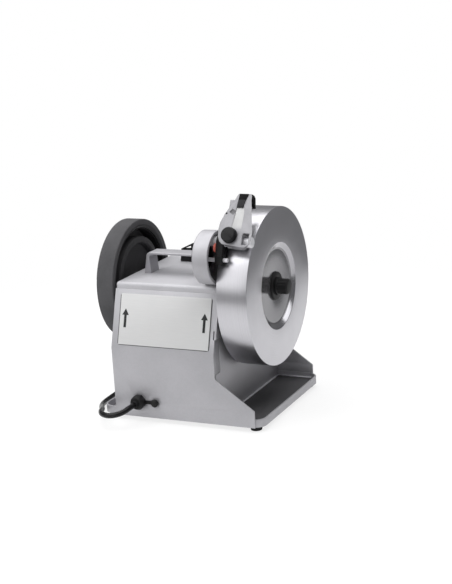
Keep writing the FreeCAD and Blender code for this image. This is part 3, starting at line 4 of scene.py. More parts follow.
import bpy
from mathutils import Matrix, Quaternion, Vector


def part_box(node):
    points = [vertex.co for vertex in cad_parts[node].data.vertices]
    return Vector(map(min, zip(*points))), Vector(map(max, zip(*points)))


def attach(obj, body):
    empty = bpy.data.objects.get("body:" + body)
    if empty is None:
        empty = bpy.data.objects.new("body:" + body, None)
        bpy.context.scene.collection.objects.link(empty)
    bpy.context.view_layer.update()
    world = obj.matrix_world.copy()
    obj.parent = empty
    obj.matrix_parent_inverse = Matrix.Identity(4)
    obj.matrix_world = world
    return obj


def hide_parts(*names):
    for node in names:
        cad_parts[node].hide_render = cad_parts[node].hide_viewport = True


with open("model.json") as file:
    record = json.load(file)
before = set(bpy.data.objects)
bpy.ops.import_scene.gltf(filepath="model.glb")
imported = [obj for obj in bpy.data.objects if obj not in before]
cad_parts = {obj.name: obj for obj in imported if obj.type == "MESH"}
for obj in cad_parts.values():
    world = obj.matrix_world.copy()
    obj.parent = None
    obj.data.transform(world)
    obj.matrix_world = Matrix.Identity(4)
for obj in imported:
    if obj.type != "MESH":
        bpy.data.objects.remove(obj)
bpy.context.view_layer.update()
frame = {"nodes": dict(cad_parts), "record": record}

# A bench knife sharpener. Lengths are in metres and angles in degrees.
# X runs along the spindle towards the grinding wheel, Y to the rear and Z up.
record = frame["record"]
slot_of = {part["node"]: part["material_slot"] for part in record["subparts"]}
body_of = {node: body for body, nodes in record["behaviour"]["bodies"].items() for node in nodes}
joint_of = {joint["name"]: joint for joint in record["behaviour"]["joints"]}

# Places read from the frame
bench_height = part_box("rubber_feet")[0].z
spindle = Vector(joint_of["spindle_spin"]["pos_m"])
dial_centre = Vector(joint_of["dial_turn"]["pos_m"])
lock_centre = Vector(joint_of["lock_turn"]["pos_m"])
lock_axis = Vector(joint_of["lock_turn"]["axis"])
rod_centre = Vector(joint_of["guide_swivel"]["pos_m"])
clamp_lean = math.atan2(lock_axis.z, -lock_axis.y)
wheel_low, wheel_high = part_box("grinding_wheel")
honing_low, honing_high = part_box("honing_wheel")
wheel_radius = (wheel_high.z - wheel_low.z) / 2
honing_radius = (honing_high.z - honing_low.z) / 2

# The wheels' inner sizes
wheel_rim = 0.008
wheel_web = 0.007
wheel_hub_radius = 0.018
wheel_bore_radius = 0.00602
wheel_hollow_radius = wheel_radius - wheel_rim
recess_radius = 0.0547
recess_floor_radius = 0.0477
recess_depth = 0.0045
recess_floor_x = wheel_high.x - recess_depth
honing_bore_radius = 0.06952

# Points of a mesh that are nearer than this are merged
merge_distance = 0.000002


# Socket arithmetic for the materials
class Value:
    """A node's output, on which sums are written as ordinary expressions."""

    def __init__(self, finish, socket):
        self.finish = finish
        self.socket = socket

    def work(self, operation, first, second):
        return self.finish.node("ShaderNodeMath", {"operation": operation}, {0: first, 1: second})

    def __add__(self, other):
        return self.work("ADD", self, other)

    __radd__ = __add__

    def __sub__(self, other):
        return self.work("SUBTRACT", self, other)

    def __rsub__(self, other):
        return self.work("SUBTRACT", other, self)

    def __mul__(self, other):
        return self.work("MULTIPLY", self, other)

    __rmul__ = __mul__

    def __truediv__(self, other):
        return self.work("DIVIDE", self, other)

    def __pow__(self, other):
        return self.work("POWER", self, other)


class Finish:
    """A procedural material on the piece's own coordinates."""

    def __init__(self, name, roughness=0.5, metallic=0.0, **constants):
        self.material = bpy.data.materials.new(name)
        self.material.use_nodes = True
        self.tree = self.material.node_tree
        self.shader = self.tree.nodes["Principled BSDF"]
        self.place = self.node("ShaderNodeTexCoord", output="Object")
        split = self.node("ShaderNodeSeparateXYZ", inputs={0: self.place}, output=None)
        self.x, self.y, self.z = [Value(self, socket) for socket in split.outputs]
        self.set("Roughness", roughness)
        self.set("Metallic", metallic)
        for socket, value in constants.items():
            self.set(socket.replace("_", " "), value)

    def node(self, kind, settings=None, inputs=None, output=0):
        """Adds a node, its settings first, and gives one of its outputs, or the node itself."""
        made = self.tree.nodes.new(kind)
        for name, value in (settings or {}).items():
            setattr(made, name, value)
        for key, value in (inputs or {}).items():
            if isinstance(value, Value):
                self.tree.links.new(value.socket, made.inputs[key])
            else:
                made.inputs[key].default_value = value
        return made if output is None else Value(self, made.outputs[output])

    def set(self, name, value):
        """Sets one socket of the shader, or links it."""
        if isinstance(value, Value):
            self.tree.links.new(value.socket, self.shader.inputs[name])
        else:
            self.shader.inputs[name].default_value = value

    def noise(self, size, detail=2.0, stretch=(1, 1, 1)):
        """Noise from 0 to 1 whose features are about size across."""
        place = self.node("ShaderNodeVectorMath", {"operation": "MULTIPLY"}, {0: self.place, 1: stretch})
        return self.node("ShaderNodeTexNoise", inputs={"Vector": place, "Scale": 1 / size, "Detail": detail})

    def lines(self, across, size, detail=2.0):
        """Fine lines that vary only with one value, as a turning tool leaves."""
        return self.node("ShaderNodeTexNoise", {"noise_dimensions": "1D"},
                         {"W": across, "Scale": 1 / size, "Detail": detail})

    def step(self, value, low, high):
        """Rises smoothly from 0 at low to 1 at high."""
        return self.node("ShaderNodeMapRange", {"interpolation_type": "SMOOTHSTEP"},
                         {"Value": value, "From Min": low, "From Max": high})

    def tone(self, value):
        """Spreads noise, which keeps near its middle, over the range from 0 to 1."""
        return self.step(value, 0.3, 0.7)

    def above(self, value, edge, soft):
        """1 above the edge and 0 below it, blended over soft on either side."""
        return self.step(value, edge - soft, edge + soft)

    def below(self, value, edge, soft):
        """1 below the edge and 0 above it."""
        return 1 - self.above(value, edge, soft)

    def band(self, value, low, high, soft):
        """1 between low and high, and 0 outside them."""
        return self.above(value, low, soft) - self.above(value, high, soft)

    def mix(self, first, second, factor):
        return self.node("ShaderNodeMix", {"data_type": "RGBA"}, {0: factor, 6: first, 7: second}, output=2)

    def single(self, operation, value):
        """Math of one value, such as its absolute or its fraction."""
        return self.node("ShaderNodeMath", {"operation": operation}, {0: value})

    def radius_about(self, centre):
        """Distance from the line along X through centre."""
        return ((self.y - centre.y) ** 2 + (self.z - centre.z) ** 2) ** 0.5

    def in_clamp(self):
        """The clamp's own directions: across from its lock knob, depth and height above its rod."""
        behind = self.y - rod_centre.y
        above = self.z - rod_centre.z
        depth = behind * math.cos(clamp_lean) - above * math.sin(clamp_lean)
        height = behind * math.sin(clamp_lean) + above * math.cos(clamp_lean)
        return self.x - lock_centre.x, depth, height

    def bump(self, height, depth):
        """A surface that stands out by depth where height is 1."""
        return self.node("ShaderNodeBump", inputs={"Strength": 1.0, "Distance": depth, "Height": height})


neutral = (1.0, 1.0, 1.0)


def shade(level, tint=(1.0, 0.99, 1.04)):
    """A near-neutral colour, given as its light reflected."""
    return tuple(level * share for share in tint) + (1.0,)


# Materials
def powder_coat(name, level, metallic):
    """Satin silver-grey coat with a fine metallic grain."""
    finish = Finish(name, metallic=metallic)
    cloud = finish.noise(0.045, 3)
    grain = finish.noise(0.0009, 2)
    fleck = finish.noise(0.0022, 3)
    tone = finish.tone(cloud * 0.5 + fleck * 0.25 + grain * 0.25)
    finish.set("Base Color", finish.mix(shade(level * 0.94), shade(level * 1.06), tone))
    finish.set("Roughness", 0.40 + grain * 0.14)
    finish.set("Normal", finish.bump(grain, 0.00006))
    return finish.material


def grained(name, level, roughness, grain_size, grain_depth, gloss=0.2):
    """Moulded plastic, rubber or coated metal with an even fine grain and faint handling marks."""
    finish = Finish(name, Specular_IOR_Level=gloss)
    grain = finish.noise(grain_size, 2)
    marks = finish.step(finish.noise(0.012, 4), 0.5, 0.75)
    finish.set("Base Color", finish.mix(shade(level * 0.8), shade(level * 1.35), grain * 0.7 + marks * 0.3))
    finish.set("Roughness", roughness - 0.08 + grain * 0.12 + marks * 0.06)
    finish.set("Normal", finish.bump(grain, grain_depth))
    return finish.material


def scratched(name, level, roughness, tint=(1.0, 0.99, 1.03), metallic=1.0):
    """Bare metal or hard plastic with fine scratches every way."""
    finish = Finish(name, metallic=metallic)
    scratches = finish.noise(0.0006, 3, stretch=(0.15, 1, 1))
    cloud = finish.noise(0.02, 3)
    finish.set("Base Color", finish.mix(shade(level * 0.9, tint), shade(level * 1.06, tint), cloud))
    finish.set("Roughness", roughness - 0.05 + scratches * 0.12)
    finish.set("Normal", finish.bump(scratches, 0.00001))
    return finish.material


def turned_steel():
    """The grinding wheel: a lined rim, rings on its face, a recess finished to a polish and a rough hollow.
    The recess, its floor most of all, and the hollow are painted darker as shade.
    """
    finish = Finish("turned_steel", metallic=1.0)
    radius = finish.radius_about(spindle)
    on_rim = finish.above(radius, wheel_radius - 0.0009, 0.0003)
    in_recess = finish.below(radius, recess_radius - 0.00015, 0.00025)
    on_floor = finish.below(radius, recess_floor_radius + 0.0009, 0.0003)
    under_rim = finish.below(radius, wheel_hollow_radius + 0.0002, 0.0001)
    behind_floor = finish.below(finish.x, recess_floor_x - 0.00175, 0.00025)
    hollow = under_rim * behind_floor
    rim_lines = finish.lines(finish.x, 0.0007, 4)
    face_lines = finish.lines(radius, 0.0009, 4)
    lines = rim_lines * on_rim + face_lines * (1 - on_rim)
    cloud = finish.noise(0.03, 3)
    surface = finish.mix(shade(0.50), shade(0.60), finish.step(lines * 0.75 + cloud * 0.25, 0.28, 0.72))
    # The recess, and its floor most of all, is painted darker than the face: painted shade standing for the
    # dark reflections it shows.
    polished_and_shaded = finish.mix(shade(0.42), shade(0.25), on_floor)
    machined = finish.mix(surface, polished_and_shaded, in_recess)
    # The hollow is rough, and its dark colour is painted shade for the gap behind the wheel.
    finish.set("Base Color", finish.mix(machined, shade(0.10), hollow))
    finish.set("Metallic", 1.0 - on_floor * 0.3 * (1 - hollow))
    finish.set("Roughness", 0.25 + lines * 0.10 - in_recess * 0.14 + hollow * 0.35)
    finish.set("Normal", finish.bump(lines * (1 - in_recess * 0.9), 0.00006))
    return finish.material


def honing_compound():
    """Dull grey composite with fine dark and pale grit."""
    finish = Finish("honing_compound", Specular_IOR_Level=0.2)
    grit = finish.noise(0.0007, 3)
    cloud = finish.noise(0.03, 3)
    finish.set("Base Color", finish.mix(shade(0.072), shade(0.106), finish.tone(grit * 0.6 + cloud * 0.4)))
    finish.set("Roughness", 0.74 + grit * 0.16)
    finish.set("Normal", finish.bump(grit, 0.00012))
    return finish.material


def satin_dial():
    """Satin silver with fine lines round the dial, as turning leaves."""
    finish = Finish("satin_dial", metallic=0.5)
    lines = finish.lines(finish.x, 0.0005, 3)
    cloud = finish.noise(0.015, 3)
    finish.set("Base Color", finish.mix(shade(0.43), shade(0.49), finish.tone(lines * 0.6 + cloud * 0.4)))
    finish.set("Roughness", 0.46 + lines * 0.14)
    finish.set("Normal", finish.bump(lines, 0.00003))
    return finish.material


def satin_casting():
    """The clamp's satin aluminium, with a bright milled facet, a grey pocket and a black set screw."""
    finish = Finish("satin_casting", metallic=0.5)
    face_top, face_depth, face_slope = 0.060, 0.0012, 0.198
    cut_depth = 0.0005
    facet_across, facet_height = (0.0, 0.0130), (0.0139, 0.0445)
    pocket_across, pocket_height = (-0.0085, -0.0001), (0.0305, 0.0410)
    screw_across, screw_height, screw_radius = -0.0110, 0.0334, 0.0012
    soft, facet_soft = 0.0001, 0.0003
    grain = finish.noise(0.0008, 3)
    cloud = finish.noise(0.012, 3)
    across, depth, height = finish.in_clamp()
    behind_face = depth + face_depth + (face_top - height) * face_slope
    cut = finish.above(behind_face, cut_depth, soft)
    facet = cut * finish.band(across, *facet_across, soft) * finish.band(height, *facet_height, facet_soft)
    pocket = cut * finish.band(across, *pocket_across, soft) * finish.band(height, *pocket_height, soft)
    from_screw = ((across - screw_across) ** 2 + (height - screw_height) ** 2) ** 0.5
    screw = finish.below(from_screw, screw_radius, soft)
    cast = finish.mix(shade(0.235), shade(0.285), finish.tone(grain * 0.4 + cloud * 0.6))
    milled = finish.mix(cast, shade(0.37, neutral), facet)
    finish.set("Base Color", finish.mix(finish.mix(milled, shade(0.13), pocket), shade(0.006), screw))
    finish.set("Roughness", 0.36 + grain * 0.16 - facet * 0.08)
    finish.set("Normal", finish.bump(grain, 0.00005))
    return finish.material


def grip_rubber():
    """The clamp's front pad: black at its top and greyer at its foot."""
    finish = Finish("grip_rubber", Specular_IOR_Level=0.06)
    grey_height = 0.05185
    grain = finish.noise(0.0009, 2)
    height = finish.in_clamp()[2]
    foot = finish.below(height, grey_height, 0.00035)
    finish.set("Base Color", finish.mix(shade(0.006), shade(0.042), foot * 0.9 + grain * 0.1))
    finish.set("Roughness", 0.55 + grain * 0.2)
    finish.set("Normal", finish.bump(grain, 0.00006))
    return finish.material


def plate_face(low, high):
    """The name plate: pale satin, with a plain arrow at each side for the way that the wheels turn, and a
    painted shadow line along its sides and foot.
    """
    finish = Finish("plate_face", Specular_IOR_Level=0.4)
    shaft_half, head_half, arrow_aside = 0.0018, 0.0047, 0.0550
    arrow_low, head_low, arrow_high = 0.1203, 0.1352, 0.1430
    shadow_width, shadow_soft, shadow_share = 0.00105, 0.00015, 0.9
    soft = 0.0001
    half_width = (high.x - low.x) / 2
    reach = finish.single("ABSOLUTE", finish.x - (low.x + high.x) / 2)
    aside = finish.single("ABSOLUTE", reach - arrow_aside)
    in_head = finish.above(finish.z, head_low, soft)
    narrowing = (arrow_high - finish.z) * (head_half / (arrow_high - head_low))
    arrow_half = narrowing * in_head + shaft_half * (1 - in_head)
    arrows = finish.above(arrow_half - aside, 0, soft) * finish.above(finish.z, arrow_low, soft)
    # The dark line along the plate's sides and foot is painted shadow, for the gap at the plate's edge.
    side_shadow = finish.above(reach, half_width - shadow_width, shadow_soft)
    foot_shadow = finish.below(finish.z, low.z + shadow_width, shadow_soft)
    print_and_shadow = arrows + (side_shadow + foot_shadow - side_shadow * foot_shadow) * shadow_share
    brushed = finish.noise(0.0012, 3, stretch=(0.08, 1, 1))
    satin = finish.mix(shade(0.61, neutral), shade(0.67, neutral), brushed)
    finish.set("Base Color", finish.mix(satin, shade(0.012), print_and_shadow))
    finish.set("Roughness", 0.42 + brushed * 0.12)
    finish.set("Normal", finish.bump(brushed, 0.000015))
    return finish.material


def dial_scale(mouth_x):
    """The dial's black lining, painted mid grey as the light in the cup, with pale strokes round its mouth,
    longer at every fifth.
    """
    finish = Finish("dial_scale", Specular_IOR_Level=0.25)
    spacing, strokes_to_long = 6.0, 5
    stroke_half, stroke_soft = 0.11, 0.02
    long_length, short_length, length_soft = 0.00875, 0.00475, 0.00025
    angle = finish.node("ShaderNodeMath", {"operation": "ARCTAN2"},
                        {0: finish.z - dial_centre.z, 1: finish.y - dial_centre.y})
    turn = (angle + math.pi) / math.radians(spacing)
    from_stroke = finish.single("ABSOLUTE", finish.single("FRACT", turn) - 0.5)
    stroke = finish.below(from_stroke, stroke_half, stroke_soft)
    is_long = finish.below(finish.single("FRACT", turn / strokes_to_long), 1 / strokes_to_long, 0.01)
    depth = mouth_x - finish.x
    in_long = finish.below(depth, long_length, length_soft)
    in_short = finish.below(depth, short_length, length_soft)
    reach = in_long * is_long + in_short * (1 - is_long)
    grain = finish.noise(0.0008, 2)
    # The black lining is painted mid grey, as the light that falls in the cup.
    lining = finish.mix(shade(0.22), shade(0.28), grain)
    finish.set("Base Color", finish.mix(lining, shade(0.7), stroke * reach))
    finish.set("Normal", finish.bump(grain, 0.00003))
    return finish.material


def rocker_face(low, high):
    """Black rocker with the plain marks for on and off."""
    finish = Finish("rocker_face", Specular_IOR_Level=0.4)
    line_half, bar_half, ring_radius, soft = 0.00035, 0.00205, 0.0018, 0.00005
    grain = finish.noise(0.0007, 2)
    middle = (low + high) / 2
    reach = (high.z - low.z) / 4
    across = finish.single("ABSOLUTE", finish.x - middle.x)
    bar_height = finish.single("ABSOLUTE", finish.z - middle.z - reach)
    bar = finish.below(across, line_half, soft) * finish.below(bar_height, bar_half, soft)
    radius = (across ** 2 + (finish.z - middle.z + reach) ** 2) ** 0.5
    ring = finish.below(finish.single("ABSOLUTE", radius - ring_radius), line_half, soft)
    black = finish.mix(shade(0.012), shade(0.017), grain)
    finish.set("Base Color", finish.mix(black, shade(0.7), bar + ring))
    finish.set("Roughness", 0.24 + grain * 0.12)
    finish.set("Normal", finish.bump(grain, 0.00001))
    return finish.material


def cord_sheath():
    """Smooth black sheath with a soft gloss."""
    finish = Finish("cord_sheath", Specular_IOR_Level=0.22)
    grain = finish.noise(0.003, 3)
    finish.set("Base Color", finish.mix(shade(0.005), shade(0.010), grain))
    finish.set("Roughness", 0.20 + grain * 0.12)
    finish.set("Normal", finish.bump(finish.noise(0.0009, 2), 0.00003))
    return finish.material


# The finish of each material slot. A grained one has its level, roughness, grain size and grain depth,
# and a scratched one has its level and roughness.
materials = {
    "silver_paint": powder_coat("silver_paint", 0.46, metallic=0.5),
    "plate_metal": plate_face(*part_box("name_plate")),
    "black_rubber": grained("black_rubber", 0.016, 0.75, 0.0010, 0.0001),
    "black_plastic": grained("black_plastic", 0.013, 0.48, 0.0007, 0.00006),
    "rocker_plastic": grained("rocker_plastic", 0.014, 0.28, 0.0007, 0.00001, gloss=0.4),
    "bush_plastic": grained("bush_plastic", 0.50, 0.45, 0.0010, 0.00003),
    "screw_steel": scratched("screw_steel", 0.50, 0.32),
    "bright_steel": scratched("bright_steel", 0.6, 0.26),
    "chromed_steel": scratched("chromed_steel", 0.86, 0.10),
    "wheel_steel": turned_steel(),
    "black_metal": grained("black_metal", 0.012, 0.42, 0.0012, 0.0001),
    "grey_casting": grained("grey_casting", 0.048, 0.6, 0.0010, 0.0001),
    "honing_composite": honing_compound(),
    "motor_steel": scratched("motor_steel", 0.22, 0.45),
    "cast_aluminium": scratched("cast_aluminium", 0.5, 0.45),
    "copper_wire": scratched("copper_wire", 0.55, 0.3, tint=(1.0, 0.45, 0.2)),
    "satin_aluminium": satin_casting(),
    "red_plastic": scratched("red_plastic", 0.90, 0.45, tint=(1.0, 0.24, 0.18), metallic=0.0),
    "cord_rubber": cord_sheath(),
    "plug_metal": scratched("plug_metal", 0.7, 0.22, tint=(1.0, 0.95, 0.82)),
}

# Finishes that differ from the rest of their slot
# The seam bead is painted far paler than the housing paint, as the highlight along the seam.
seam_highlight_paint = powder_coat("seam_highlight_paint", 0.80, metallic=0.2)
# The rods are chrome, but they take a near-white, hardly metallic colour: a painted reflection of the white
# surround.
rod_painted_sheen = scratched("rod_painted_sheen", 0.90, 0.34, metallic=0.1)
own_finish = {
    "dial_drum": satin_dial(),
    "dial_scale_ring": dial_scale(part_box("dial_scale_ring")[1].x),
    "front_pad": grip_rubber(),
    "rear_pad": grained("pad_rubber", 0.008, 0.62, 0.0009, 0.00006, gloss=0.08),
    "tray_mat": grained("tray_liner", 0.080, 0.62, 0.0016, 0.0001),
    # The lid takes a paler, less metallic copy of the housing paint, which stands for the light on its top.
    "top_cover": powder_coat("lid_paint_lit", 0.52, metallic=0.1),
    "switch_rocker": rocker_face(*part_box("switch_rocker")),
    "link_rod": rod_painted_sheen,
    "guide_rod": rod_painted_sheen,
    "rod_end_cap": rod_painted_sheen,
}


# Modelling helpers
def only(piece):
    """Selects the piece and nothing else."""
    bpy.ops.object.select_all(action="DESELECT")
    piece.select_set(True)
    bpy.context.view_layer.objects.active = piece


def joined(pieces):
    """Makes one object of the pieces."""
    only(pieces[-1])
    for piece in pieces:
        piece.select_set(True)
    bpy.ops.object.join()
    return bpy.context.object


def corners(piece):
    """The points of a piece's mesh."""
    return [Vector(vertex.co) for vertex in piece.data.vertices]


def put(thing, location, direction, turn=0.0, front="Z"):
    """Puts a thing in its place, its front along the direction and turned about that."""
    about_front = Quaternion((0, 0, 1), math.radians(turn))
    thing.location = location
    thing.rotation_mode = "QUATERNION"
    thing.rotation_quaternion = direction.to_track_quat(front, "Y") @ about_front


def apply_modifiers(piece):
    only(piece)
    for modifier in list(piece.modifiers):
        bpy.ops.object.modifier_apply(modifier=modifier.name)


def soften(piece, width, segments=2, angle=32.0):
    """Rounds the piece's sharp edges and smooths what is left."""
    bevel = piece.modifiers.new("edges", "BEVEL")
    bevel.width = width
    bevel.segments = segments
    bevel.limit_method = "ANGLE"
    bevel.angle_limit = math.radians(angle)
    bevel.use_clamp_overlap = True
    apply_modifiers(piece)
    bpy.ops.object.shade_smooth_by_angle(angle=math.radians(angle))


def dress(piece, body, slot, material=None, nodes=()):
    """Gives a piece its finish and lets it ride on its body in place of the nodes it stands for."""
    piece.data.materials.clear()
    piece.data.materials.append(material or materials[slot])
    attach(piece, body)
    if nodes:
        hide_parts(*nodes)


def finished(node, width):
    """A node's own shape with its edges rounded as a press, a mould or a file leaves them."""
    flat_angle = 0.6
    only(frame["nodes"][node])
    bpy.ops.object.duplicate()
    piece = bpy.context.object
    piece.name = node + "_finished"
    bpy.ops.object.mode_set(mode="EDIT")
    bpy.ops.mesh.select_all(action="SELECT")
    bpy.ops.mesh.remove_doubles(threshold=merge_distance)
    bpy.ops.mesh.dissolve_limited(angle_limit=math.radians(flat_angle))
    bpy.ops.object.mode_set(mode="OBJECT")
    soften(piece, width)
    dress(piece, body_of[node], slot_of[node], own_finish.get(node), (node,))


def turned(name, profile, centre):
    """A round piece about the line along X through centre, from points of x and radius."""
    steps = 180
    bpy.ops.object.select_all(action="DESELECT")
    bpy.ops.mesh.primitive_circle_add(vertices=len(profile), radius=wheel_radius)
    piece = bpy.context.object
    piece.name = name
    for vertex, (x, radius) in zip(piece.data.vertices, profile):
        vertex.co = (x, centre.y, centre.z + radius)
    bpy.ops.object.mode_set(mode="EDIT")
    bpy.ops.mesh.select_all(action="SELECT")
    bpy.ops.mesh.spin(steps=steps, angle=2 * math.pi, center=(0, centre.y, centre.z), axis=(1, 0, 0))
    bpy.ops.mesh.select_all(action="SELECT")
    bpy.ops.mesh.remove_doubles(threshold=merge_distance)
    bpy.ops.mesh.normals_make_consistent(inside=False)
    bpy.ops.object.mode_set(mode="OBJECT")
    return piece


# Wheels
def grinding_wheel():
    """The hollow steel wheel, with a dished recess in its outer face."""
    hub_taper = 0.002
    web_chamfer = 0.004
    floor_rise, floor_run = 0.0012, 0.001
    left, right = wheel_low.x, wheel_high.x
    back = recess_floor_x - wheel_web
    profile = [
        (left, wheel_bore_radius), (left, wheel_hub_radius), (back, wheel_hub_radius + hub_taper),
        (back, wheel_hollow_radius - web_chamfer), (back - web_chamfer, wheel_hollow_radius),
        (left, wheel_hollow_radius), (left, wheel_radius), (right, wheel_radius), (right, recess_radius),
        (recess_floor_x + floor_rise, recess_floor_radius + floor_rise),
        (recess_floor_x, recess_floor_radius - floor_run), (recess_floor_x, wheel_bore_radius)]
    wheel = turned("grinding_wheel_turned", profile, spindle)
    soften(wheel, 0.0007, segments=3, angle=20)
    dress(wheel, "spindle", "wheel_steel", nodes=("grinding_wheel",))


def honing_wheel():
    """The composite ring that the drive wheel carries."""
    left, right = honing_low.x, honing_high.x
    profile = [(left, honing_bore_radius), (left, honing_radius),
               (right, honing_radius), (right, honing_bore_radius)]
    wheel = turned("honing_wheel_turned", profile, spindle)
    soften(wheel, 0.0015, segments=4)
    dress(wheel, "spindle", "honing_composite", nodes=("honing_wheel",))


# Trim that the solids leave out
def lock_knob_rib():
    """The low rib across the lock knob's face, by which it is turned."""
    rib_length, rib_width, rib_height = 0.0148, 0.0012, 0.0016
    rib_turn = -38
    face = max((corner - lock_centre).dot(lock_axis) for corner in corners(frame["nodes"]["lock_knob"]))
    bpy.ops.object.select_all(action="DESELECT")
    bpy.ops.mesh.primitive_cube_add(size=1)
    rib = bpy.context.object
    rib.name = "lock_knob_rib"
    rib.scale = (rib_length, rib_width, rib_height)
    bpy.ops.object.transform_apply(scale=True)
    soften(rib, 0.0004)
    put(rib, lock_centre + lock_axis * face, lock_axis, rib_turn)
    only(rib)
    bpy.ops.object.transform_apply(location=True, rotation=True)
    dress(rib, "lock", "black_plastic")


def tray_seam():
    """The bead along the foot of the wall and of the rear gusset, beside the mat, painted pale as a
    highlight.
    """
    radius = 0.0011
    bead_height, bead_inset = radius * 0.8, radius * 0.6
    front_gap, side_gap = 0.004, 0.008
    mat_low, mat_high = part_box("tray_mat")
    height = mat_high.z + bead_height
    corner = Vector((mat_low.x + bead_inset, mat_high.y - bead_inset, height))
    ends = [Vector((corner.x, mat_low.y + front_gap, height)),
            Vector((mat_high.x - side_gap, corner.y, height))]
    runs = []
    for end in ends:
        span = end - corner
        bpy.ops.mesh.primitive_cylinder_add(vertices=20, radius=radius, depth=span.length)
        put(bpy.context.object, (corner + end) / 2, span)
        runs.append(bpy.context.object)
    bpy.ops.mesh.primitive_uv_sphere_add(segments=20, ring_count=12, radius=radius, location=corner)
    bead = joined([*runs, bpy.context.object])
    bead.name = "tray_seam"
    bpy.ops.object.transform_apply(location=True, rotation=True)
    bpy.ops.object.shade_smooth()
    dress(bead, "housing", "silver_paint", seam_highlight_paint)


def screw_head(points):
    """The middle of a screw head's outer face, the way it faces, and its radius."""
    rim_share = 0.8
    low = Vector([min(point[axis] for point in points) for axis in range(3)])
    high = Vector([max(point[axis] for point in points) for axis in range(3)])
    span = high - low
    along = max(range(3), key=lambda axis: span[axis])
    across = [axis for axis in range(3) if axis != along]
    radius = max(span[axis] for axis in across) / 2
    centre = (low + high) / 2
    rim = [point[along] for point in points
           if math.hypot(*(point[axis] - centre[axis] for axis in across)) > radius * rim_share]
    side = 1 if sum(rim) / len(rim) > centre[along] else -1
    centre[along] = high[along] if side > 0 else low[along]
    return centre, Vector([side if axis == along else 0 for axis in range(3)]), radius


def cut_screw_recesses(screws):
    """Cuts a cross recess into the outer face of every screw's head."""
    length_share, width_share, bar_depth = 1.04, 0.22, 0.0016
    only(screws)
    bpy.ops.object.duplicate()
    bpy.ops.object.mode_set(mode="EDIT")
    bpy.ops.mesh.select_all(action="SELECT")
    bpy.ops.mesh.separate(type="LOOSE")
    bpy.ops.object.mode_set(mode="OBJECT")
    heads = [screw_head(corners(screw)) for screw in bpy.context.selected_objects]
    bpy.ops.object.delete()
    for turn in (45, 135):
        bars = []
        for centre, facing, radius in heads:
            bpy.ops.mesh.primitive_cube_add(size=1)
            bar = bpy.context.object
            bar.scale = (radius * length_share, radius * width_share, bar_depth)
            put(bar, centre, facing, turn)
            bars.append(bar)
        cutter = joined(bars)
        cut = screws.modifiers.new("recess", "BOOLEAN")
        cut.operation = "DIFFERENCE"
        cut.object = cutter
        apply_modifiers(screws)
        only(cutter)
        bpy.ops.object.delete()


# Mains cord
cord_radius = 0.0035
lay_height = bench_height + cord_radius
coil_centre = Vector((-0.09525, 0.17057, lay_height))
coil_radius = 0.046
coil_turns = 2.875
coil_pitch = 0.0076
layer_pitch = 0.0075
climb_turns = 0.5
turn_points = 16
cord_route = [
    (-0.05465, -0.08743, 0.0263), (-0.05465, -0.11343, 0.0263), (-0.06145, -0.12663, 0.0214),
    (-0.07565, -0.13163, 0.0184), (-0.09025, -0.12603, 0.0176), (-0.09965, -0.11203, 0.0162),
    (-0.10745, -0.09483, 0.0128), (-0.12005, -0.07663, 0.0080), (-0.13095, -0.05393, 0.0042),
    (-0.13375, -0.02473, 0.0035), (-0.13475, 0.00857, 0.0035), (-0.13925, 0.04457, 0.0035),
    (-0.14525, 0.08257, 0.0035), (-0.14625, 0.12257, 0.0035)]


def coil_place(turns):
    """The coil winds inwards on the lower layer, climbs, and winds out again on the upper one."""
    if turns <= coil_turns:
        inward = turns
        height = 0.0
    elif turns <= coil_turns + climb_turns:
        share = (turns - coil_turns) / climb_turns
        inward = coil_turns + climb_turns * share * (1 - share)
        height = layer_pitch * (3 * share ** 2 - 2 * share ** 3)
    else:
        inward = 2 * coil_turns + climb_turns - turns
        height = layer_pitch
    # The curve runs inside its points, so they stand a little further out
    corner_power = 0.67
    radius = (coil_radius - coil_pitch * inward) / math.cos(math.pi / turn_points) ** corner_power
    angle = math.radians(180 - 360 * turns)
    return coil_centre + Vector((radius * math.cos(angle), radius * math.sin(angle), height))


def mains_cord():
    """The cord from inside its gland to the coil behind the machine and on to the plug."""
    total = 2 * coil_turns + climb_turns
    count = int(turn_points * total)
    winding = [coil_place(total * step / count) for step in range(count + 1)]
    leaving = (winding[-1] - winding[-2]).normalized()
    points = [Vector(point) for point in cord_route]
    points.append(winding[0] + Vector((0, -2 * cord_radius, 0)))
    points += winding
    points.append(winding[-1] + leaving * 2 * cord_radius)
    data = bpy.data.curves.new("mains_cord", "CURVE")
    data.dimensions = "3D"
    data.bevel_depth = cord_radius
    data.bevel_resolution = 5
    data.resolution_u = 8
    data.use_fill_caps = True
    spline = data.splines.new("NURBS")
    spline.points.add(len(points) - 1)
    for point, place in zip(spline.points, points):
        point.co = (*place, 1.0)
    spline.order_u = 3
    spline.use_endpoint_u = True
    sheath = bpy.data.objects.new("mains_cord", data)
    bpy.context.scene.collection.objects.link(sheath)
    dress(sheath, "housing", "cord_rubber", nodes=("cord_lead", "cord_coil"))
    return sheath


# Camera, as fitted to the photograph
camera_place = Vector((0.75970, -1.51421, 0.58027))
camera_target = Vector((0.02715, 0.00857, 0.14776))
camera_roll = -3.381
focal_pixels = 1365.65
image_height = 584
sensor = 36.0


def make_camera():
    """The view of the photograph."""
    data = bpy.data.cameras.new("camera")
    camera = bpy.data.objects.new("camera", data)
    bpy.context.scene.collection.objects.link(camera)
    data.sensor_width = sensor
    data.lens = focal_pixels * sensor / image_height
    put(camera, camera_place, camera_target - camera_place, camera_roll, front="-Z")
    bpy.context.scene.camera = camera


